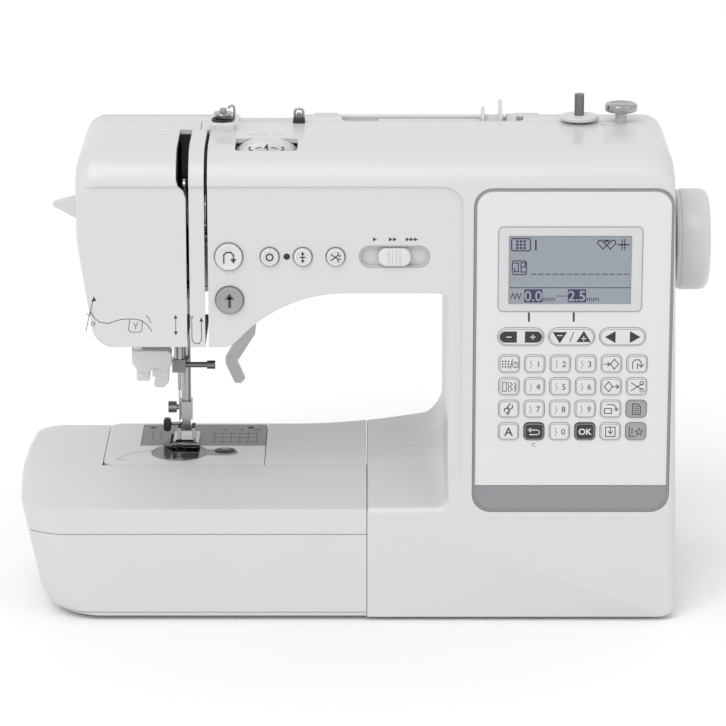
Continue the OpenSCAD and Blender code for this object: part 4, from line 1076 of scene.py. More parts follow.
# ------------------------------------------------------------------ panel
@dataclass
class ControlPanel:
    """The panel with its screen and keys."""

    low: Point2 = (63.1, 68.4)
    high: Point2 = (179.1, 264.4)
    face: float = -86.9
    key_face: float = -87.88
    key_back: float = -83.3
    cut: Point2 = (-90.0, -80.0)
    seat: float = -84.4
    corner: float = 11.0
    rim: float = 1.5
    strip: float = 14.0
    screen_low: Point2 = (83.3, 195.4)
    screen_high: Point2 = (154.7, 236.4)
    key_size: Point2 = (11.8, 10.5)
    key_pitch: Point2 = (14.95, 13.75)
    key_left: float = 78.3
    key_top: float = 164.6
    pill: Point2 = (26.8, 10.6)
    pill_pitch: float = 29.7
    pill_low: float = 170.5

    def key_outline(self, column: int, row: int, grow: float = 0.0) -> list[Point2]:
        """Outline of one small key, grown all round for its hole in the panel."""
        x = self.key_left + self.key_pitch[0] * column - grow
        z = self.key_top - self.key_size[1] - self.key_pitch[1] * row - grow
        return rounded_box((x, z), (x + self.key_size[0] + 2 * grow, z + self.key_size[1] + 2 * grow),
                           2.6 + grow, 5)

    def key_centre(self, column: int, row: int) -> Point2:
        """Middle of one small key."""
        return (self.key_left + self.key_pitch[0] * column + self.key_size[0] / 2,
                self.key_top - self.key_pitch[1] * row - self.key_size[1] / 2)

    def pill_outline(self, place: int, grow: float = 0.0) -> list[Point2]:
        """Outline of one rocker key, grown all round for its hole in the panel."""
        x = self.key_left - 0.9 + self.pill_pitch * place - grow
        high = (x + self.pill[0] + 2 * grow, self.pill_low + self.pill[1] + grow)
        return rounded_box((x, self.pill_low - grow), high, 9, 10)

    def cutters(self) -> list[Piece]:
        """Solids that cut the panel's seat and window in the housing."""
        grown = ((self.low[0] - 0.2, self.low[1] - 0.2), (self.high[0] + 0.2, self.high[1] + 0.2))
        window = ((self.low[0] + 6, self.low[1] + 6), (self.high[0] - 6, self.high[1] - 6))
        return [slab("panel_seat", rounded_box(*grown, self.corner), Plane.FRONT, -92, self.seat),
                slab("panel_window", rounded_box(*window, 6), Plane.FRONT, -86, -70)]

    def build(self) -> None:
        """Makes the panel, its screen, its keys and their marks."""
        self.make_face()
        self.make_screen()
        self.make_keys()
        self.make_rockers()
        self.make_legends()

    def make_face(self) -> None:
        """The white face, the grey rim round it and the silver strip along its foot."""
        holes = [slab("key_hole", self.key_outline(c, r, 0.3), Plane.FRONT, *self.cut)
                 for c in range(6) for r in range(4)]
        holes += [slab("pill_hole", self.pill_outline(c, 0.3), Plane.FRONT, *self.cut) for c in range(3)]
        holes.append(slab("screen_hole", rounded_box(self.screen_low, self.screen_high, 0.8), Plane.FRONT,
                          *self.cut))
        low, high = self.low, self.high
        face_low = (low[0] + self.rim, low[1] + self.strip + 2.2)
        face_high = (high[0] - self.rim, high[1] - self.rim)
        round_in = self.corner - self.rim
        face_outline = [face_low, (face_high[0], face_low[1])]
        face_outline += arc((face_high[0] - round_in, face_high[1] - round_in), round_in, 0, 90, 8)
        face_outline += arc((face_low[0] + round_in, face_high[1] - round_in), round_in, 90, 180, 8)
        face = slab("panel_face", face_outline, Plane.FRONT, self.face, self.seat - 0.1, low_edge=0.3)
        combine(face, holes, "DIFFERENCE")
        dress(face, Finishes.PANEL, "machine", ["control_panel"])
        rim = slab("panel_rim", rounded_box(low, high, self.corner, 10), Plane.FRONT, self.face - 0.25,
                   self.seat - 0.1, low_edge=0.5)
        combine(rim, [slab("rim_inside", rounded_box((face_low[0] - 0.02, low[1] + 1.6), (face_high[0] + 0.02,
                      face_high[1] + 0.02), self.corner - self.rim, 8), Plane.FRONT, -95, -80)], "DIFFERENCE")
        dress(rim, Finishes.OUTLINE, "machine")
        strip = slab("panel_strip", rounded_box((face_low[0] + 0.05, low[1] + 1.7), (face_high[0] - 0.05,
                     low[1] + 42), self.corner - self.rim, 8), Plane.FRONT, self.face - 0.1, self.seat - 0.1)
        combine(strip, [box("strip_limit", (0, -95, face_low[1] - 0.15), (200, -70, 140))], "DIFFERENCE")
        dress(strip, Finishes.SILVER, "machine")

    def make_screen(self) -> None:
        """The screen in its pale surround, with a generic sewing display."""
        (x0, z0), (x1, z1) = self.screen_low, self.screen_high
        surround = slab("screen_surround", rounded_box((x0 - 6.2, z0 - 4.6), (x1 + 6.4, z1 + 5.6), 3.2, 6),
                        Plane.FRONT, self.face - 0.28, self.face + 0.6, low_edge=0.2)
        combine(surround, [slab("surround_hole", rounded_box((x0 - 0.2, z0 - 0.2), (x1 + 0.2, z1 + 0.2), 0.8),
                                Plane.FRONT, -95, -80)], "DIFFERENCE")
        dress(surround, Finishes.BEZEL, "machine")
        line = PrintSheet(self.face - 0.28)
        line.loop(rounded_box((x0 - 6.2, z0 - 4.6), (x1 + 6.4, z1 + 5.6), 3.2, 6), 0.5)
        line.make("surround_outline", Finishes.PALE_INK, "machine")
        glass = slab("screen_glass", rounded_box((x0, z0), (x1, z1), 0.6), Plane.FRONT, self.face + 0.45,
                     self.seat + 3)
        dress(glass, Finishes.SCREEN, "machine", ["display_module"])
        ink = PrintSheet(self.face + 0.45, 0.05)
        self.draw_display(ink, x0, z0)
        ink.make("screen_marks", Finishes.SCREEN_INK, "machine")
        pale = PrintSheet(self.face + 0.39, 0.05)
        pale.text("0.0", (x0 + 14.5, z0 + 4.9), 6.0, 0.16)
        pale.text("2.5", (x0 + 39.9, z0 + 4.9), 6.0, 0.16)
        pale.make("screen_clear_digits", Finishes.SCREEN, "machine")

    def draw_display(self, ink: PrintSheet, x: float, z: float) -> None:
        """Draws the stitch number, icons and the two settings."""
        ink.loop(rounded_box((x + 1.2, z + 31.6), (x + 12.8, z + 39.6), 1.4), 0.7)
        for i in range(3):
            for j in range(3):
                ink.area(rounded_box((x + 4.2 + 2.1 * i, z + 32.9 + 2.0 * j), (x + 5.6 + 2.1 * i,
                                     z + 34.3 + 2.0 * j), 0.1, 1))
        ink.text("1", (x + 15.6, z + 35.4), 6.2, 0.06)
        heart = [(52.2, 33.0), (55.4, 36.4), (54.6, 38.2), (53.2, 38.2), (52.2, 37.0), (51.2, 38.2),
                 (49.8, 38.2),
                 (49.0, 36.4), (52.2, 33.0)]
        for shift in (2.4, 6.6):
            ink.line([(x + u + shift, z + v) for u, v in heart], 0.6)
        ink.line([(x + 63.4, z + 35.6), (x + 69.4, z + 35.6)], 0.8)
        for shift in (65.6, 67.2):
            ink.line([(x + shift, z + 32.8), (x + shift, z + 38.6)], 0.6)
        ink.loop(rounded_box((x + 1.8, z + 17.4), (x + 10.6, z + 26.2), 1.4), 0.6)
        foot = [(3.0, 24.6), (5.6, 24.6), (5.6, 19.4), (3.4, 19.4), (3.4, 21.4)]
        ink.line([(x + u, z + v) for u, v in foot], 0.6)
        ink.line([(x + 7.2, z + 19.2), (x + 7.2, z + 24.8), (x + 9.6, z + 24.8), (x + 9.6, z + 22.2),
                  (x + 7.4, z + 22.2)], 0.6)
        ink.line([(x + 7.2, z + 19.2), (x + 9.6, z + 19.2)], 0.6)
        for i in range(14):
            ink.line([(x + 13.2 + 4.15 * i, z + 17.9), (x + 15.9 + 4.15 * i, z + 17.9)], 0.5)
        ink.line([(x + 0.8, z + 9.8), (x + 70.6, z + 9.8)], 0.45)
        zigzag = [(1.4, 3.2), (2.6, 6.4), (3.8, 3.2), (5.0, 6.4), (6.2, 3.2), (7.4, 6.4)]
        ink.line([(x + u, z + v) for u, v in zigzag], 0.5)
        for start in (9.2, 34.6):
            ink.area(rounded_box((x + start, z + 1.0), (x + start + 10.6, z + 8.8), 0.5, 2))
        ink.text("mm", (x + 23.6, z + 3.2), 3.4)
        ink.text("mm", (x + 49.2, z + 3.2), 3.4)
        for start in (28.2, 30.4, 32.6):
            ink.line([(x + start, z + 4.8), (x + start + 1.4, z + 4.8)], 0.45)

    def make_keys(self) -> None:
        """The keypad's caps, each with a fine outline, in pale, grey and black."""
        groups: dict[Finishes, list[Piece]] = {Finishes.KEY: [], Finishes.KEY_GREY: [],
                                                          Finishes.KEY_BLACK: []}
        rim = PrintSheet(self.key_face, 0.05)
        for column in range(6):
            for row in range(4):
                kind = Finishes.KEY
                if column == 5 and row >= 2:
                    kind = Finishes.KEY_GREY
                if (column, row) in ((1, 3), (3, 3)):
                    kind = Finishes.KEY_BLACK
                outline = self.key_outline(column, row)
                groups[kind].append(slab("key", outline, Plane.FRONT, self.key_face, self.key_back,
                                         low_edge=0.45))
                rim.loop(inset(outline, 0.42), 0.42)
        names = {Finishes.KEY: "pale_keys", Finishes.KEY_GREY: "grey_keys", Finishes.KEY_BLACK: "black_keys"}
        for kind, caps in groups.items():
            stands_for = ["keypad"] if kind is Finishes.KEY else []
            dress(join(names[kind], caps), kind, "keypad", stands_for)
        rim.make("key_outlines", Finishes.PALE_INK, "keypad")

    def make_rockers(self) -> None:
        """The three rocker keys, with two black buttons printed on each."""
        for place, name in enumerate(("width_rocker", "length_rocker", "cursor_rocker")):
            outline = self.pill_outline(place)
            cap = slab(f"{name}_cap", outline, Plane.FRONT, self.key_face, self.key_back, low_edge=0.5)
            dress(cap, Finishes.KEY, name, [name])
            edge = PrintSheet(self.key_face, 0.05)
            edge.loop(inset(outline, 0.45), 0.4)
            black = PrintSheet(self.key_face, 0.06)
            white = PrintSheet(self.key_face - 0.06, 0.05)
            x = self.key_left - 0.9 + self.pill_pitch * place
            mid = self.pill_low + self.pill[1] / 2
            for side in (0, 1):
                centre = (x + self.pill[0] * (0.24 + 0.52 * side), mid)
                black.area(self.rocker_field(place, side, centre))
                self.rocker_mark(white, place, side, centre)
            if place == 1:
                black.line([(x + self.pill[0] / 2 - 1.0, mid - 2.8), (x + self.pill[0] / 2 + 1.0, mid + 2.8)],
                           0.45)
            edge.make(f"{name}_outline", Finishes.PALE_INK, name)
            black.make(f"{name}_fields", Finishes.KEY_BLACK, name)
            if place < 2:
                white.make(f"{name}_marks", Finishes.WHITE_INK, name)

    def rocker_field(self, place: int, side: int, at: Point2) -> list[Point2]:
        """Outline of the black field on one half of a rocker."""
        x, z = at
        way = 1 if side else -1
        if place == 0:
            corners = arc((x + 2.0, z), 3.4, -90, 90, 8) + [(x - 4.6, z + 3.4), (x - 4.6, z - 3.4)]
            return corners if side else [(2 * x - u, v) for u, v in corners]
        if place == 1:
            return [(x - 4.2, z - 3.0 * way), (x + 4.2, z - 3.0 * way), (x, z + 3.8 * way)]
        return [(x - 2.8 * way, z - 3.6), (x + 3.4 * way, z), (x - 2.8 * way, z + 3.6)]

    def rocker_mark(self, ink: PrintSheet, place: int, side: int, at: Point2) -> None:
        """The sign on one half of a rocker, minus or plus; the third rocker has none."""
        if place == 2:
            return
        x, z = at[0], at[1] + (0.0 if place == 0 else (-0.9 if side else 0.9))
        ink.line([(x - 1.3, z), (x + 1.3, z)], 0.5)
        if side:
            ink.line([(x, z - 1.3), (x, z + 1.3)], 0.5)

    def make_legends(self) -> None:
        """The keys' signs and the marks above the rockers."""
        ink = PrintSheet(self.key_face, 0.08)
        white = PrintSheet(self.key_face, 0.08)
        digits = {(1, 0): "1", (2, 0): "2", (3, 0): "3", (1, 1): "4", (2, 1): "5", (3, 1): "6", (1, 2): "7",
                  (2, 2): "8", (3, 2): "9", (2, 3): "0"}
        for place, digit in digits.items():
            x, z = self.key_centre(*place)
            ink.text(digit, (x + 2.2, z), 3.6)
            for i in range(3):
                ink.line([(x - 2.2 + (0.7 if i % 2 else -0.3), z - 2.4 + 1.7 * i),
                          (x - 2.2, z - 1.3 + 1.7 * i)], 0.3)
        self.draw_symbols(ink, white)
        ink.make("key_signs", Finishes.INK, "keypad")
        white.make("black_key_signs", Finishes.WHITE_INK, "keypad")
        marks = PrintSheet(self.face, 0.06)
        for x in (95.4, 121.5):
            marks.line([(x, 185.4), (x, 189.8)], 1.2)
        x, z = self.key_centre(1, 3)
        marks.text("C", (x, z - 8.3), 2.2)
        marks.make("panel_marks", Finishes.INK, "machine")

    def draw_symbols(self, ink: PrintSheet, white: PrintSheet) -> None:
        """Draws the signs of the function keys."""
        def sign(column: int, row: int, strokes: Sequence[Sequence[Point2]], width: float = 0.5) -> Point2:
            """Draws strokes about a key's middle and returns the middle."""
            x, z = self.key_centre(column, row)
            for stroke in strokes:
                ink.line([(x + u, z + v) for u, v in stroke], width)
            return (x, z)

        x, z = sign(0, 0, [[(0.6, -2.6), (1.8, 2.8)]])
        for i in range(3):
            for j in range(3):
                ink.disc((x - 3.9 + 1.7 * i, z - 1.7 + 1.7 * j), 0.5)
        ink.circle((x + 3.6, z - 0.4), 1.9, 0.4)
        ink.line([(x + 3.6, z + 0.6), (x + 3.6, z - 0.4), (x + 4.4, z - 0.4)], 0.35)
        sign(4, 0, [[(-4.2, 0), (-1.0, 0)], [(-2.2, 1.2), (-1.0, 0), (-2.2, -1.2)],
                    [(1.6, 3.0), (4.2, 0), (1.6, -3.0), (-0.6, 0), (1.6, 3.0)]])
        sign(5, 0, [[(-2.6, -2.8), (-2.6, 1.0), (-1.4, 2.6), (1.2, 2.6), (2.4, 1.0), (2.4, -1.4)],
                    [(1.0, -0.2), (2.4, -1.8), (3.8, -0.2)], [(0.2, -2.8), (0.2, 0.4)]])
        sign(0, 1, [[(-3.8, -2.8), (-1.6, -2.8), (-1.6, 2.8), (-3.8, 2.8), (-3.8, -2.8)],
                    [(-0.4, -2.8), (-0.4, 2.8)], [(0.6, -2.8), (2.0, -1.4), (0.6, 0), (2.0, 1.4), (0.6, 2.8)],
                    [(3.2, -2.8), (4.2, -2.0), (3.2, -1.2), (4.2, -0.4), (3.2, 0.4), (4.2, 1.2), (3.2, 2.8)]],
             0.4)
        sign(4, 1, [[(-4.0, 0), (-1.4, 3.0), (0.8, 0), (-1.4, -3.0), (-4.0, 0)], [(1.4, 0), (4.4, 0)],
                    [(3.2, 1.2), (4.4, 0), (3.2, -1.2)]])
        x, z = sign(5, 1, [[(-3.2, -2.4), (3.2, 1.8)], [(-3.2, 2.4), (3.2, -1.8)]])
        for rise in (2.2, -2.2):
            ink.circle((x + 3.0, z + rise), 1.3, 0.4)
        sign(0, 2, [[(-0.6, -3.4), (0.4, -1.0), (-0.8, 1.2), (0.8, 3.4)],
                    [(0.0, -0.4), (2.0, 0.8), (2.2, 2.2)],
                    [(-0.4, 0.8), (-2.4, 0.2), (-2.6, -1.2)], [(0.2, -1.8), (-1.6, -2.4)]], 0.6)
        sign(4, 2, [[(-3.6, -2.6), (0.4, -2.6), (0.4, 0.4), (-3.6, 0.4), (-3.6, -2.6)],
                    [(-2.0, 2.8), (1.6, 2.8), (3.2, 1.0), (3.2, -0.6)],
                    [(2.2, 0.4), (3.2, -0.8), (4.2, 0.4)]])
        x, z = sign(5, 2, [[(-2.2, -3.2), (2.4, -3.2), (2.4, 1.6), (0.8, 3.2), (-2.2, 3.2), (-2.2, -3.2)]])
        for i in range(4):
            ink.line([(x - 1.2, z - 2.0 + 1.2 * i), (x + 1.4, z - 2.0 + 1.2 * i)], 0.3)
        x, z = self.key_centre(0, 3)
        ink.text("A", (x, z), 5.2, 0.08)
        x, z = self.key_centre(1, 3)
        white.line([(x - 2.4, z - 1.8), (x + 2.4, z - 1.8), (x + 3.4, z - 0.4), (x + 2.4, z + 1.0),
                    (x - 3.0, z + 1.0)],
                   0.55)
        white.area([(x - 3.9, z + 1.0), (x - 1.7, z - 0.4), (x - 1.7, z + 2.4)])
        white.text("OK", self.key_centre(3, 3), 3.6, 0.10)
        sign(4, 3, [[(-2.8, 2.8), (-2.8, -3.0), (2.8, -3.0), (2.8, 2.8), (-2.8, 2.8)], [(0, 2.2), (0, -0.8)],
                    [(-1.2, 0.2), (0, -1.2), (1.2, 0.2)]])
        x, z = sign(5, 3, [[(-3.8, 3.0), (-3.8, -2.8), (-0.6, -2.8)], [(-2.2, 2.2), (-2.2, -1.0)]])
        star = [(x + 1.9 + r * math.sin(a), z - 0.2 + r * math.cos(a))
                for a, r in ((math.pi * k / 5, 2.4 if k % 2 == 0 else 1.0) for k in range(11))]
        ink.line(star, 0.35)


# ------------------------------------------------------------------ arm controls
@dataclass
class Controls:
    """The round buttons and the speed slider on the arm."""

    row_z: float = 223.5
    face: float = -85.0
    big: float = 7.9
    small: float = 5.2
    reverse: Point2 = (-79.3, 223.5)
    start: Point2 = (-79.0, 197.5)
    reinforce: Point2 = (-55.5, 223.5)
    needle_position: Point2 = (-36.3, 223.5)
    cutter: Point2 = (-17.2, 223.5)
    slider: Point2 = (17.0, 223.5)
    slot_half: float = 14.0
    slot_radius: float = 5.8

    def buttons(self) -> list[tuple[str, Point2, float, Finishes]]:
        """Node, place, radius and finish of each button."""
        return [("reverse_button", self.reverse, self.big, Finishes.KEY),
                ("start_stop_button", self.start, self.big, Finishes.KEY_GREY),
                ("reinforcement_button", self.reinforce, self.small, Finishes.KEY),
                ("needle_position_button", self.needle_position, self.small, Finishes.KEY),
                ("cutter_button", self.cutter, self.small, Finishes.KEY)]

    def cutters(self) -> list[Piece]:
        """Solids that cut the holes of the buttons and the slider."""
        cuts = [lathe(f"{name}_hole", [(0, radius + 0.3), (16, radius + 0.3)], (at[0], -92, at[1]),
                      Plane.FRONT)
                for name, at, radius, _ in self.buttons()]
        x, z = self.slider
        reach = self.slot_half + self.slot_radius
        cuts.append(slab("slider_slot", rounded_box((x - reach, z - self.slot_radius), (x + reach,
                         z + self.slot_radius), 5.7, 10), Plane.FRONT, -92, -76))
        return cuts

    def build(self) -> None:
        """Makes the buttons, the slider, the lamp and their marks."""
        for name, at, radius, finish in self.buttons():
            profile = [(-1.9, 0), (-1.9, radius * 0.45), (-2.1, radius * 0.72), (-2.45, radius - 1.6),
                       (-2.6, radius - 1.0), (-2.5, radius - 0.5), (-2.1, radius - 0.12), (-1.5, radius),
                       (0.6, radius), (0.6, radius - 1.0), (5.2, radius - 1.0), (5.2, radius + 1.5),
                       (6.6, radius + 1.5), (6.6, 0)]
            cap = lathe(f"{name}_cap", profile, (at[0], self.face, at[1]), Plane.FRONT, 72)
            dress(cap, finish, name, [name])
            self.button_mark(name, at)
        rings = PrintSheet(self.face, 0.08)
        for _, at, radius, _ in self.buttons():
            rings.circle(at, radius + 0.85, 0.5)
        x, z = self.slider
        reach = self.slot_half + self.slot_radius + 0.9
        rings.loop(rounded_box((x - reach, z - 6.6), (x + reach, z + 6.6), 6.5, 10), 0.55)
        rings.make("button_surrounds", Finishes.PALE_INK, "machine")
        lamp = lathe("stitch_lamp", [(0.4, 1.9), (-0.15, 1.9), (-0.42, 1.5), (-0.55, 0.8), (-0.6, 0)],
                     (self.reinforce[0] + 9.9, self.face, self.row_z), Plane.FRONT, 32)
        dress(lamp, Finishes.DARK, "machine")
        self.make_slider()

    def button_mark(self, name: str, at: Point2) -> None:
        """Prints the sign of one button."""
        x, z = at
        ink = PrintSheet(self.face - 1.9, 0.25)
        if name == "reverse_button":
            ink.line([(x - 2.8, z - 3.4), (x - 2.8, z + 1.4), (x - 1.2, z + 3.0), (x + 1.2, z + 3.0),
                      (x + 2.8, z + 1.4),
                      (x + 2.8, z - 1.2)], 0.7)
            ink.area([(x + 1.0, z - 1.0), (x + 2.8, z - 3.6), (x + 4.6, z - 1.0)])
        elif name == "start_stop_button":
            ink.line([(x, z - 3.6), (x, z + 1.4)], 1.5)
            ink.area([(x - 2.6, z + 0.6), (x + 2.6, z + 0.6), (x, z + 4.2)])
        elif name == "reinforcement_button":
            ink.circle((x, z), 2.3, 0.8)
        elif name == "needle_position_button":
            ink.line([(x, z - 2.6), (x, z + 2.6)], 0.5)
            ink.line([(x - 1.5, z), (x + 1.5, z)], 0.5)
            ink.area([(x - 1.0, z + 1.7), (x + 1.0, z + 1.7), (x, z + 3.4)])
            ink.area([(x + 1.0, z - 1.7), (x - 1.0, z - 1.7), (x, z - 3.4)])
        else:
            ink.line([(x - 3.0, z + 2.1), (x + 1.6, z - 1.3)], 0.5)
            ink.line([(x - 3.0, z - 2.1), (x + 1.6, z + 1.3)], 0.5)
            ink.circle((x + 2.3, z + 1.8), 1.25, 0.45)
            ink.circle((x + 2.3, z - 1.8), 1.25, 0.45)
        ink.make(f"{name}_sign", Finishes.INK, name)

    def make_slider(self) -> None:
        """The slider's knob with its grip ribs, and the speed marks above it."""
        x, z = self.slider
        knob = slab("speed_slider_cap", rounded_box((x - 9.4, z - 5.2), (x + 9.4, z + 5.2), 4.5, 6),
                    Plane.FRONT,
                    self.face - 2.7, self.face + 1.2, low_edge=0.9)
        groove = slab("grooves", rounded_box((x - 3.7, z - 6), (x - 2.9, z + 6), 0.3), Plane.FRONT,
                      self.face - 4,
                      self.face - 2.3)
        combine(knob, [Repeat(Pattern.ROW, Finishes.KEY, 4, step=(2.2, 0, 0)).apply(groove)], "DIFFERENCE")
        dress(knob, Finishes.KEY, "speed_slider", ["speed_slider"])
        floor = slab("slider_floor", rounded_box((x - 21, z - 7), (x + 21, z + 7), 6, 6), Plane.FRONT, -81.9,
                     -81.2)
        dress(floor, Finishes.BEZEL, "machine")
        marks = PrintSheet(self.face, 0.07)
        for start, count in ((5.7, 1), (16.1, 2), (27.1, 3)):
            for i in range(count):
                left = start - 1.2 * count + 2.4 * i
                marks.area([(left, 232.6), (left + 2.3, 233.8), (left, 235.0)])
        marks.make("speed_marks", Finishes.INK, "machine")


# ------------------------------------------------------------------ small pieces
@dataclass
class Dial:
    """The numbered tension dial in the top of the arm."""

    x: float = -57.5
    y: float = -60.0
    z: float = 259.5
    radius: float = 27.0
    number_radius: float = 24.4
    bevel: float = 2.6
    inner: float = 20.0
    step: float = 22.0

    def build(self) -> None:
        """Makes the wheel and the numbers on its sloped face."""
        front = -6.0
        profile = [(front, 0), (front, self.inner), (front + self.bevel, self.radius - 0.4),
                   (front + self.bevel + 0.4, self.radius), (12.0, self.radius), (12.4, self.radius - 0.4),
                   (12.4, self.radius - 1.6), (3.0, self.radius - 1.6), (3.0, 4.0), (14.0, 4.0), (14.0, 0)]
        wheel = lathe("tension_dial_wheel", profile, (self.x, self.y, self.z), Plane.FRONT, 120)
        dress(wheel, Finishes.SHELL, "tension_dial", ["tension_dial"])
        rib = slab("dial_ribs", rounded_box((-0.35, self.radius - 0.3), (0.35, self.radius + 0.25), 0.15, 2),
                   Plane.FRONT, 0.0, 9.0, 0.1, 0.1)
        Repeat(Pattern.RING, Finishes.SHELL, 72, (self.x, self.y, self.z), (0, 1, 0)).apply(rib)
        dress(rib, Finishes.SHELL, "tension_dial")
        ink = PrintSheet(self.y + front, 0.08)
        for number in range(10):
            turn = (number - 4) * self.step
            away = math.radians(turn)
            place = (self.x - self.number_radius * math.sin(away),
                     self.z + self.number_radius * math.cos(away))
            ink.text(str(number), place, 3.7, 0.08, turn)
            if number < 9:
                dash = [math.radians(turn + self.step * share) for share in (0.34, 0.5, 0.66)]
                ink.line([(self.x - self.number_radius * math.sin(a),
                           self.z + self.number_radius * math.cos(a)) for a in dash], 0.5)
        for vertex in ink.mesh.verts:
            away = math.hypot(vertex.co.x - self.x, vertex.co.z - self.z)
            vertex.co.y += max(0.0, away - self.inner) * self.bevel / (self.radius - 0.4 - self.inner)
        ink.make("dial_numbers", Finishes.INK, "tension_dial")


@dataclass
class ThreadPath:
    """Metal thread guides on the arm and the prints that show the thread's way."""

    guide: Point2 = (-84.0, -20.0)
    clip: Point2 = (-39.5, -2.0)
    top: float = 285.0
    arm_face: float = -85.0

    def build(self) -> None:
        """Makes the guides and the prints."""
        self.make_guides()
        self.make_prints()

    def make_guides(self) -> None:
        """The sprung disc with its hook, and the bail behind the dial."""
        x, y = self.guide
        top = self.top
        seat = slab("guide_seat", rounded_box((x - 8, y - 8), (x + 7.5, y + 8), 2.4), Plane.PLAN, top - 0.4,
                    top + 5,
                    high_edge=1.6)
        dress(seat, Finishes.SHELL, "machine")
        ring = lathe("guide_ring", [(5, 0), (5, 6.6), (6.2, 6.6), (6.6, 6.0), (6.6, 4.4), (5.6, 4.0),
                                    (5.6, 0)],
                     (x - 0.4, y, top - 0.1), Plane.PLAN, 48)
        dress(ring, Finishes.DARK, "machine")
        discs = lathe("guide_discs", [(5.4, 0), (5.4, 2), (7.0, 2), (7.2, 5.6), (7.7, 5.8), (8.2, 4.2),
                                      (8.8, 4.2),
                      (9.4, 5.8), (9.9, 5.6), (10.0, 2), (12.2, 2), (12.6, 1.4), (12.6, 0)], (x, y, top),
                      Plane.PLAN, 48)
        dress(discs, Finishes.CHROME, "machine", ["thread_guides"])
        hook = [(x + 6.3, y + 4, top + 4), (x + 6.5, y + 4, top + 10), (x + 6.3, y + 3.6, top + 12.4),
                (x + 5.2, y + 2.8, top + 13.5), (x + 3.8, y + 1.8, top + 13.2),
                (x + 3.0, y + 1.0, top + 12.2)]
        dress(wire("guide_hook", hook, 0.7), Finishes.CHROME, "machine")
        x, y = self.clip
        block = slab("clip_block", rounded_box((x - 3.6, y - 3.6), (x + 3.6, y + 3.6), 1.0), Plane.PLAN,
                     top - 0.4,
                     top + 2.8, high_edge=0.6)
        dress(block, Finishes.DARK, "machine")
        bail = [(x - 2.6, y, top + 1), (x - 2.6, y, top + 6.4), (x - 1.9, y, top + 7.8), (x, y, top + 8.3),
                (x + 1.9, y, top + 7.8), (x + 2.6, y, top + 6.4), (x + 2.6, y, top + 1)]
        dress(wire("clip_bail", bail, 0.75), Finishes.CHROME, "machine")
        saddle = slab("clip_saddle", rounded_box((x - 1.6, top + 2.4), (x + 1.6, top + 5.6), 0.8),
                      Plane.FRONT, y - 2.4,
                      y + 2.4, low_edge=0.3, high_edge=0.3)
        dress(saddle, Finishes.STEEL, "machine")

    def make_prints(self) -> None:
        """Fine line drawings on the head's face and the arm's top."""
        ink = PrintSheet(self.arm_face, 0.06)
        sole = [(-160, 190), (-158, 186.5), (-155, 184), (-150, 183.2), (-146, 184.6), (-142, 185.8),
                (-136, 186),
                (-131, 185.2), (-127.4, 182.6), (-124.6, 178.6)]
        ink.line(sole, 0.4)
        ink.line([(-160, 190), (-161, 187.6), (-162.2, 189.4)], 0.35)
        ink.line([(-163, 179), (-160.6, 189.6), (-158.4, 197.6)], 0.4)
        ink.area([(-159.6, 196.4), (-156.6, 196.8), (-158.0, 199.6)])
        ink.line([(-137.4, 185.8), (-138.2, 179.6), (-137, 178), (-131.6, 178), (-130.4, 179.4), (-130, 185)],
                 0.35)
        ink.line([(-135.2, 183.6), (-134, 181.4), (-132.6, 183.8)], 0.35)
        ink.line([(-134, 181.4), (-134, 179.6)], 0.35)
        ink.line([(-127.6, 188), (-126, 186), (-125, 183.6)], 0.35)
        ink.circle((-158.9, 183.0), 1.2, 0.35)
        x = -110.6
        ink.line([(x, 177), (x, 186.6)], 0.35)
        ink.area([(x - 1.1, 186.2), (x + 1.1, 186.2), (x, 188.6)])
        ink.area([(x + 1.1, 178.4), (x - 1.1, 178.4), (x, 176.0)])
        ink.line([(-101.2, 186), (-101.2, 174), (-100.4, 171.8), (-98.8, 170.8), (-97.0, 171.2),
                  (-96.0, 172.6),
                  (-95.6, 174.4), (-95.6, 184.6)], 0.4)
        ink.area([(-96.8, 184.4), (-94.4, 184.4), (-95.6, 187.0)])
        ink.circle((-101.2, 187.0), 0.9, 0.35)
        ink.make("thread_path_prints", Finishes.INK, "machine")
        top = PrintSheet(self.top, 0.06, Plane.PLAN)
        for left, right in ((-120, -116), (-114, -112.6), (-68, -62), (-60, -57), (-52, -48)):
            top.line([(left, -36), (right, -36)], 0.5)
        top.line([(118, -8), (122, -12), (128, -13.4)], 0.5)
        top.area([(128, -14.6), (130.6, -13.4), (128, -12.2)])
        top.circle((141.4, -9.5), 2.0, 0.45)
        top.line([(144.6, -11.4), (148.4, -11.4)], 0.5)
        top.make("top_prints", Finishes.PALE_INK, "machine")


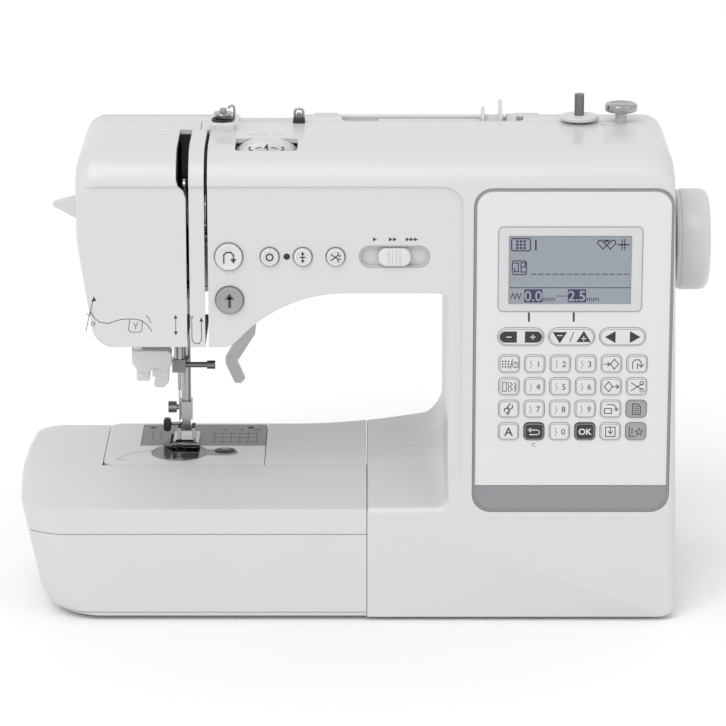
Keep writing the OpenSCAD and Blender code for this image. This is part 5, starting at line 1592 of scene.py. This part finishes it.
@dataclass
class NeedleArea:
    """Details round the needle plate and the presser foot."""

    bed: float = 82.0
    plate_right: float = -60.9
    bar: Point2 = (-109.6, 12.0)
    clamp_z: float = 129.0
    foot_z: float = 83.1
    ankle_z: float = 90.1
    threader_x: float = -139.3
    lever_y: float = -18.0
    under: float = 168.5

    def build(self) -> None:
        """Makes the marks, latch, threader and foot details."""
        self.make_marks()
        self.make_latch()
        self.make_threader()
        self.make_foot_details()

    def make_marks(self) -> None:
        """Seam guide lines and numbers on the needle plate and a thread print beside it."""
        ink = PrintSheet(self.bed + 0.05, 0.05, Plane.PLAN)
        right = self.plate_right
        for i in range(6):
            x = right - 32 + 5.2 * i
            ink.line([(x, 5), (x, 26 if i % 2 else 31)], 0.4)
        for y in (9, 17.5, 26):
            ink.line([(right - 33, y), (right - 5, y)], 0.35)
        for i, label in enumerate(("10", "15", "20")):
            ink.text(label, (right - 26.8 + 10.4 * i, 34), 3.0, 0.05)
        ink.line([(-131, 12), (-131, 30)], 0.35)
        ink.line([(-126, 12), (-126, 30)], 0.35)
        ink.make("plate_marks", Finishes.INK, "machine")
        path = PrintSheet(self.bed + 0.02, 0.05, Plane.PLAN)
        path.line([(-150.5, -27), (-146, -19), (-140, -13.5), (-133.5, -10.5), (-129.6, -10.4)], 0.4)
        path.line([(-150.5, -27), (-144, -28.5)], 0.4)
        path.line([(-131.4, -8.0), (-129.4, -10.4), (-131.8, -12.4)], 0.4)
        path.line([(-79, -18), (-79, -10)], 0.5)
        path.area([(-80.2, -11), (-77.8, -11), (-79, -8)])
        path.make("bobbin_prints", Finishes.PALE_INK, "machine")

    def make_latch(self) -> None:
        """The dark latch at the end of the bobbin cover."""
        outline = [(x * 1.35 - 85.4, y + 3.5) for x, y in arc((0, 0), 4.7, 0, 345, 23)]
        latch = slab("cover_latch", [(x, y - 12) for x, y in outline], Plane.PLAN, self.bed - 0.3,
                     self.bed + 0.3,
                     high_edge=0.25)
        dress(latch, Finishes.DARK, "bobbin_cover")
        boss = lathe("latch_boss", [(0, 2.4), (0.5, 2.4), (0.8, 1.8), (0.8, 0)],
                     (-85.4, -8.5, self.bed + 0.1))
        dress(boss, Finishes.STEEL, "bobbin_cover")

    def make_threader(self) -> None:
        """The threader's bracket beside the needle, with its hook holder and thread guide."""
        x, y, z = self.threader_x, self.lever_y, self.clamp_z
        stem = slab("threader_stem", rounded_box((x, z + 13), (x + 5, self.under + 30), 1), Plane.FRONT,
                    y - 3, y + 3,
                    0.5, 0.5)
        arm = slab("threader_arm", rounded_box((-152.5, self.under + 30), (x + 5, self.under + 39), 1),
                   Plane.FRONT,
                   y - 2.6, y + 2.6)
        outline = [(x - 1.2, z + 20), (x - 1.2, z + 12), (x + 2.5, z + 6.6), (x + 8, z + 5.4),
                   (x + 12, z + 8.2),
                   (x + 15, z + 9.0), (x + 19.4, z + 6.4), (x + 22.6, z + 10.6), (x + 22.6, z + 18.6),
                   (x + 20, z + 20)]
        body = slab("threader_body", outline, Plane.FRONT, y - 4.6, y + 7, 1.1, 0.8)
        dress(join("threader_bracket", [stem, arm, body]), Finishes.IVORY, "threader",
              ["needle_threader"])
        tab = slab("threader_tab", rounded_box((x + 1.4, z + 0.4), (x + 9.4, z + 8.6), 1.4), Plane.FRONT,
                   y - 2.2,
                   y + 5, 0.6, 0.6)
        dress(tab, Finishes.IVORY, "threader")
        outline = [(x + 11.6, z + 9.4), (x + 10.8, z + 3.6), (x + 12.2, z - 3.4), (x + 17.6, z - 4.0),
                   (x + 20.6, z - 0.6),
                   (x + 21.2, z + 8.6)]
        holder = slab("hook_holder", outline, Plane.FRONT, y - 2.0, y + 8, 0.8, 0.6)
        combine(holder, [lathe("holder_notch", [(0, 2.6), (24, 2.6)], (x + 10.6, y - 8, z + 0.8),
                               Plane.FRONT)],
                "DIFFERENCE")
        dress(holder, Finishes.IVORY, "threader")
        pin = wire("threader_hook", [(x + 16, y + 6, z - 1), (x + 18, y + 9, z - 1.6),
                                     (x + 18.6, y + 12, z - 2.0)], 0.45)
        dress(pin, Finishes.STEEL, "threader")

    def make_foot_details(self) -> None:
        """The clip-on foot, and the release lever and knurled screw of its holder."""
        x, y = self.bar
        z = self.foot_z
        sole = [(x - 8, y - 18.4), (x - 7.4, y - 19), (x - 5.6, y - 19), (x - 5.0, y - 18.4),
                (x - 5.0, y - 14),
                (x - 2.2, y - 14), (x - 2.2, y - 18.4), (x - 1.6, y - 19), (x + 7.4, y - 19),
                (x + 8, y - 18.4),
                (x + 8, y + 9.4), (x + 6.4, y + 11), (x - 6.4, y + 11), (x - 8, y + 9.4)]
        foot = slab("foot_sole", sole, Plane.PLAN, z, z + 1.6, high_edge=0.45)
        combine(foot, [slab("needle_window", rounded_box((x - 6.6, y - 12.6), (x + 4.8, y - 7.6), 1.2),
                            Plane.PLAN,
                            z - 2, z + 4)], "DIFFERENCE")
        tips = [slab("foot_tip", [(y - 18.8, z + 0.3), (y - 18.6, z + 1.6), (y - 21.8, z + 3.6),
                                  (y - 22.5, z + 2.8)],
                     Plane.SIDE, left, right) for left, right in ((x - 8, x - 5.0), (x - 2.2, x + 8))]
        cheeks = []
        for side in (-4.6, 4.6):
            outline = [(y - 5.2, z + 1.3), (y + 5.2, z + 1.3), (y + 3.6, self.ankle_z + 0.8)]
            outline += arc((y, self.ankle_z + 0.2), 3.0, 20, 160, 7) + [(y - 3.6, self.ankle_z + 0.8)]
            cheeks.append(slab("foot_cheek", outline, Plane.SIDE, x + side - 1.2, x + side + 1.2, 0.3, 0.3))
        dress(join("foot_body", [foot, *tips, *cheeks]), Finishes.CHROME, "presser_foot",
              ["presser_foot"])
        # Dark slabs laid on the tops of the foot's two toes.
        dark_tops = [slab("toe_pad", rounded_box((low, y - 18.2), (high, y - 13.2), 0.5, 2), Plane.PLAN, z + 1.55,
                     z + 2.0)
                for low, high in ((x - 7.6, x - 5.2), (x + 1.6, x + 7.2))]
        dress(join("toe_pads", dark_tops), Finishes.DARK, "presser_foot")
        rib = slab("screw_ribs", rounded_box((-0.3, 3.0), (0.3, 3.55), 0.15, 2), Plane.SIDE, x - 11, x - 6.4)
        Repeat(Pattern.RING, Finishes.CHROME, 20, (0, y, self.bed + 21.5), (1, 0, 0)).apply(rib)
        dress(rib, Finishes.CHROME, "presser_bar")
        lever = slab("foot_release", rounded_box((x - 14.4, self.ankle_z - 3.4),
                                                 (x - 9.8, self.ankle_z + 4.6), 1.8),
                     Plane.FRONT, y + 2.6, y + 7.6, 0.7, 0.7)
        dress(lever, Finishes.DARK, "presser_bar")
        arm = wire("release_arm", [(x - 11, y + 5, self.ankle_z + 1), (x - 6, y + 3.6, self.ankle_z + 1.6),
                                   (x - 2, y + 2.6, self.ankle_z + 2)], 1.0)
        dress(arm, Finishes.STEEL, "presser_bar")


@dataclass
class Handle:
    """The folding handle: two end blocks, a rounded grip and the pivot pins."""

    low: float = -31.5
    high: float = 106.5
    block: float = 15.1
    near: float = 45.0
    far: float = 59.0
    deck: float = 259.0
    top: float = 277.5
    pivot: Point2 = (76.0, 264.5)

    def build(self) -> None:
        """Makes the grip, the blocks and the pins as one piece."""
        grip_outline = rounded_box((self.near, self.deck + 5), (self.far, self.top), 4.6, 6)
        grip = slab("handle_grip", grip_outline, Plane.SIDE, self.low + self.block - 1,
                    self.high - self.block + 1)
        pieces = [grip]
        py, pz = self.pivot
        for left in (self.low, self.high - self.block):
            outline = [(self.near, self.deck + 3.0)] + arc((self.near + 1.5, self.deck + 3.0), 1.5, 180, 270,
                                                           4)
            outline += arc((py, pz), 4.0, 270, 430, 10) + [(self.far, self.top)]
            outline += arc((self.near + 2.5, self.top - 2.5), 2.5, 90, 180, 6)
            pieces.append(slab("handle_block", outline, Plane.SIDE, left, left + self.block, 1.0, 1.0))
        for left in (self.low - 5.4, self.high - 1.0):
            pieces.append(lathe("handle_pin", [(left, 0), (left, 2.4), (left + 6.4, 2.4), (left + 6.4, 0)],
                                (0, py, pz),
                                Plane.SIDE, 32))
        dress(join("carrying_handle", pieces), Finishes.SHELL, "carry_handle",
              ["carry_handle"])


@dataclass
class TurnedPieces:
    """The handwheel, the bobbin winder and its stop."""

    wheel: Point3 = (185.0, 3.0, 212.0)
    radius: float = 30.5
    reach: float = 21.5
    winder: Point3 = (127.8, 0.0, 285.0)
    stop: Point3 = (152.8, 0.0, 285.0)

    def build(self) -> None:
        """Turns the pieces."""
        r, end = self.radius, self.reach
        rim = [(7.6, 0), (7.6, 4.2), (-1.3, 4.2), (-1.3, 13), (1.2, 13), (1.2, r - 1.6), (1.6, r - 0.9),
               (2.6, r - 0.5)]
        rim += [(3.0, r - 0.9), (3.6, r - 0.9), (4.0, r - 0.4), (4.8, r), (end - 5.5, r)]
        rim += [(end - 5.5 + 5.5 * math.sin(a), r - 5.5 + 5.5 * math.cos(a)) for a in
                (math.radians(d) for d in range(10, 91, 10))]
        rim += [(end, r - 8), (end - 0.5, r - 9), (end - 0.5, 0)]
        dress(lathe("handwheel_body", rim, self.wheel, Plane.SIDE, 128), Finishes.SHELL,
              "main_shaft",
              ["handwheel"])
        seat = [(-12, 0), (-12, 4.1), (1.4, 4.1), (1.4, 11.0), (1.8, 11.5), (2.4, 11.6), (3.2, 11.6),
                (3.7, 11.2)]
        seat += [(3.8, 10.6), (3.8, 7.4), (4.2, 6.8), (4.2, 0)]
        carriage = lathe("winder_seat", seat, self.winder, Plane.PLAN, 72)
        combine(carriage, [lathe("winder_bore", [(-30, 3.15), (30, 3.15)], self.winder, Plane.PLAN, 48)],
                "DIFFERENCE")
        dress(carriage, Finishes.SHELL, "winder_carriage", ["winder_carriage"])
        post = lathe("stop_post", [(-8, 0), (-8, 3.4), (6.6, 3.4), (6.6, 0)], self.stop, Plane.PLAN, 40)
        dress(post, Finishes.SHELL, "machine", ["winder_stop"])
        disc = [(6.4, 0), (6.4, 8.6), (6.8, 9.4), (7.6, 9.7), (9.8, 9.7), (10.7, 9.3), (11.1, 8.5),
                (11.2, 7.4)]
        disc += [(10.9, 6.6), (10.9, 0)]
        dress(lathe("stop_disc", disc, self.stop, Plane.PLAN, 72), Finishes.CHROME, "machine")


# ------------------------------------------------------------------ carried-over nodes
@dataclass(frozen=True)
class Keep:
    """Nodes that are shown as they are, with one finish and softened edges.

    Attributes:
        finish: Their finish.
        edge: Width of the softened edges, in mm.
        names: The nodes.
    """

    finish: Finishes
    edge: float
    names: tuple[str, ...]


class Carried:
    """Dresses the CAD nodes that no other piece stands for."""

    NODES: tuple[Keep, ...] = (
        Keep(Finishes.SHELL, 0.3, ("base_plate",)),
        Keep(Finishes.RUBBER, 0.5, ("rubber_feet",)),
        Keep(Finishes.SHELL, 0.8, ("free_arm_shell",)),
        Keep(Finishes.SHELL, 0.5, ("plate_cover", "spool_pin", "threader_lever", "spool_cap")),
        Keep(Finishes.PLATE, 0.2, ("needle_plate",)),
        Keep(Finishes.CASTING, 0.6, ("cast_frame",)),
        Keep(Finishes.BOARD, 0.1, ("circuit_boards",)),
        Keep(Finishes.DARK, 0.4, ("power_inlet", "power_switch")),
        Keep(Finishes.MOTOR, 0.6, ("main_motor",)),
        Keep(Finishes.MOTOR, 0.5, ("stepping_motors",)),
        Keep(Finishes.BRONZE, 0.2, ("shaft_bushes",)),
        Keep(Finishes.CHROME, 0.3, ("tension_discs", "needle_bar", "take_up_lever", "presser_bar")),
        Keep(Finishes.DARK, 0.3, ("bobbin_case",)),
        Keep(Finishes.RUBBER, 0.2, ("drive_belts",)),
        Keep(Finishes.STEEL, 0.3, ("main_shaft", "lower_shaft", "rotary_hook", "motor_pulley")),
        Keep(Finishes.STEEL, 0.35, ("needle_clamp",)),
        Keep(Finishes.CHROME, 0.05, ("needle",)),
        Keep(Finishes.IVORY, 0.9, ("presser_lifter",)),
        Keep(Finishes.IVORY, 0.5, ("buttonhole_lever",)),
        Keep(Finishes.STEEL, 0.4, ("winder_shaft",)),
        Keep(Finishes.CLEAR, 0.2, ("bobbin_cover", "bobbin")),
        Keep(Finishes.STEEL, 0.1, ("feed_dogs",)))

    @classmethod
    def build(cls, nodes: dict[str, Piece]) -> None:
        """Gives each kept node its finish and softened edges.

        Args:
            nodes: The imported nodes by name.
        """
        for keep, name in ((keep, name) for keep in cls.NODES for name in keep.names):
            node = nodes[name]
            node.data.materials.clear()
            node.data.materials.append(keep.finish.material())
            weld = node.modifiers.new("weld", "WELD")
            weld.merge_threshold = 1e-6
            flat = node.modifiers.new("flatten", "DECIMATE")
            flat.decimate_type = "DISSOLVE"
            flat.angle_limit = math.radians(0.4)
            bevel = node.modifiers.new("soften", "BEVEL")
            bevel.width = keep.edge * MM
            bevel.segments = 2
            bevel.limit_method = "ANGLE"
            bevel.angle_limit = math.radians(32)
            bevel.harden_normals = False
            node.data.shade_smooth()
            normals = node.modifiers.new("normals", "WEIGHTED_NORMAL")
            normals.keep_sharp = True
            LOG.info("%s keeps its CAD form", name)


# ------------------------------------------------------------------ studio
@dataclass
class Studio:
    """Floor, lights and camera."""

    camera_at: Point3 = (-1.3, -2241.5, 777.6)
    pitch: float = 16.0
    lens: float = 190.07
    floor_reach: float = 6000.0
    daylight: float = 0.88
    sun_power: float = 0.95
    sun_spread: float = 40.0
    sun_way: Point3 = (0.35, 0.75, -1.0)
    aim: Point3 = (0.0, 0.0, 140.0)

    def build(self) -> None:
        """Sets the stage."""
        mesh = bmesh.new()
        reach = self.floor_reach
        corners = [mesh.verts.new((x * reach, y * reach, 0.0)) for x,
                   y in ((-1, -1), (1, -1), (1, 1), (-1, 1))]
        mesh.faces.new(corners)
        floor = make_object("floor", mesh)
        paint = bpy.data.materials.new("pale_floor")
        paint.use_nodes = True
        shader = paint.node_tree.nodes["Principled BSDF"]
        shader.inputs["Base Color"].default_value = (0.93, 0.93, 0.93, 1.0)
        shader.inputs["Roughness"].default_value = 0.7
        floor.data.materials.append(paint)
        world = bpy.data.worlds.new("studio")
        world.use_nodes = True
        world.node_tree.nodes["Background"].inputs["Color"].default_value = (1.0, 1.0, 1.0, 1.0)
        world.node_tree.nodes["Background"].inputs["Strength"].default_value = self.daylight
        bpy.context.scene.world = world
        sun = bpy.data.lights.new("overhead", "SUN")
        sun.energy = self.sun_power
        sun.angle = math.radians(self.sun_spread)
        lamp = bpy.data.objects.new("overhead", sun)
        lamp.rotation_euler = Vector(self.sun_way).to_track_quat("-Z", "Y").to_euler()
        bpy.context.scene.collection.objects.link(lamp)
        self.light("key", (-900, -1500, 1300), 500, 1.6)
        self.light("fill", (1300, -1200, 900), 700, 0.6)
        self.place_camera()

    def light(self, name: str, at: Point3, size: float, power: float) -> None:
        """Adds a square soft light aimed at the machine."""
        data = bpy.data.lights.new(name, "AREA")
        data.energy = power
        data.size = size * MM
        lamp = bpy.data.objects.new(name, data)
        lamp.location = [c * MM for c in at]
        aim = Vector(self.aim) - Vector(at)
        lamp.rotation_euler = aim.to_track_quat("-Z", "Y").to_euler()
        bpy.context.scene.collection.objects.link(lamp)

    def place_camera(self) -> None:
        """Adds the camera at the viewing angle."""
        data = bpy.data.cameras.new("camera")
        data.lens = self.lens
        data.sensor_width = 36.0
        data.clip_end = 50.0
        camera = bpy.data.objects.new("camera", data)
        camera.location = [c * MM for c in self.camera_at]
        camera.rotation_euler = (math.radians(90 - self.pitch), 0, 0)
        bpy.context.scene.collection.objects.link(camera)
        bpy.context.scene.camera = camera
        bpy.context.scene.view_settings.view_transform = "Standard"


def main() -> None:
    """Builds the machine's pieces in order."""
    logging.basicConfig(level=logging.INFO, format="%(message)s")
    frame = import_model()
    Studio().build()
    panel, controls = ControlPanel(), Controls()
    Housing().build(panel, controls)
    Bed().build()
    panel.build()
    controls.build()
    Dial().build()
    ThreadPath().build()
    NeedleArea().build()
    TurnedPieces().build()
    Handle().build()
    Carried.build(frame["nodes"])


if __name__ == "__main__":
    main()
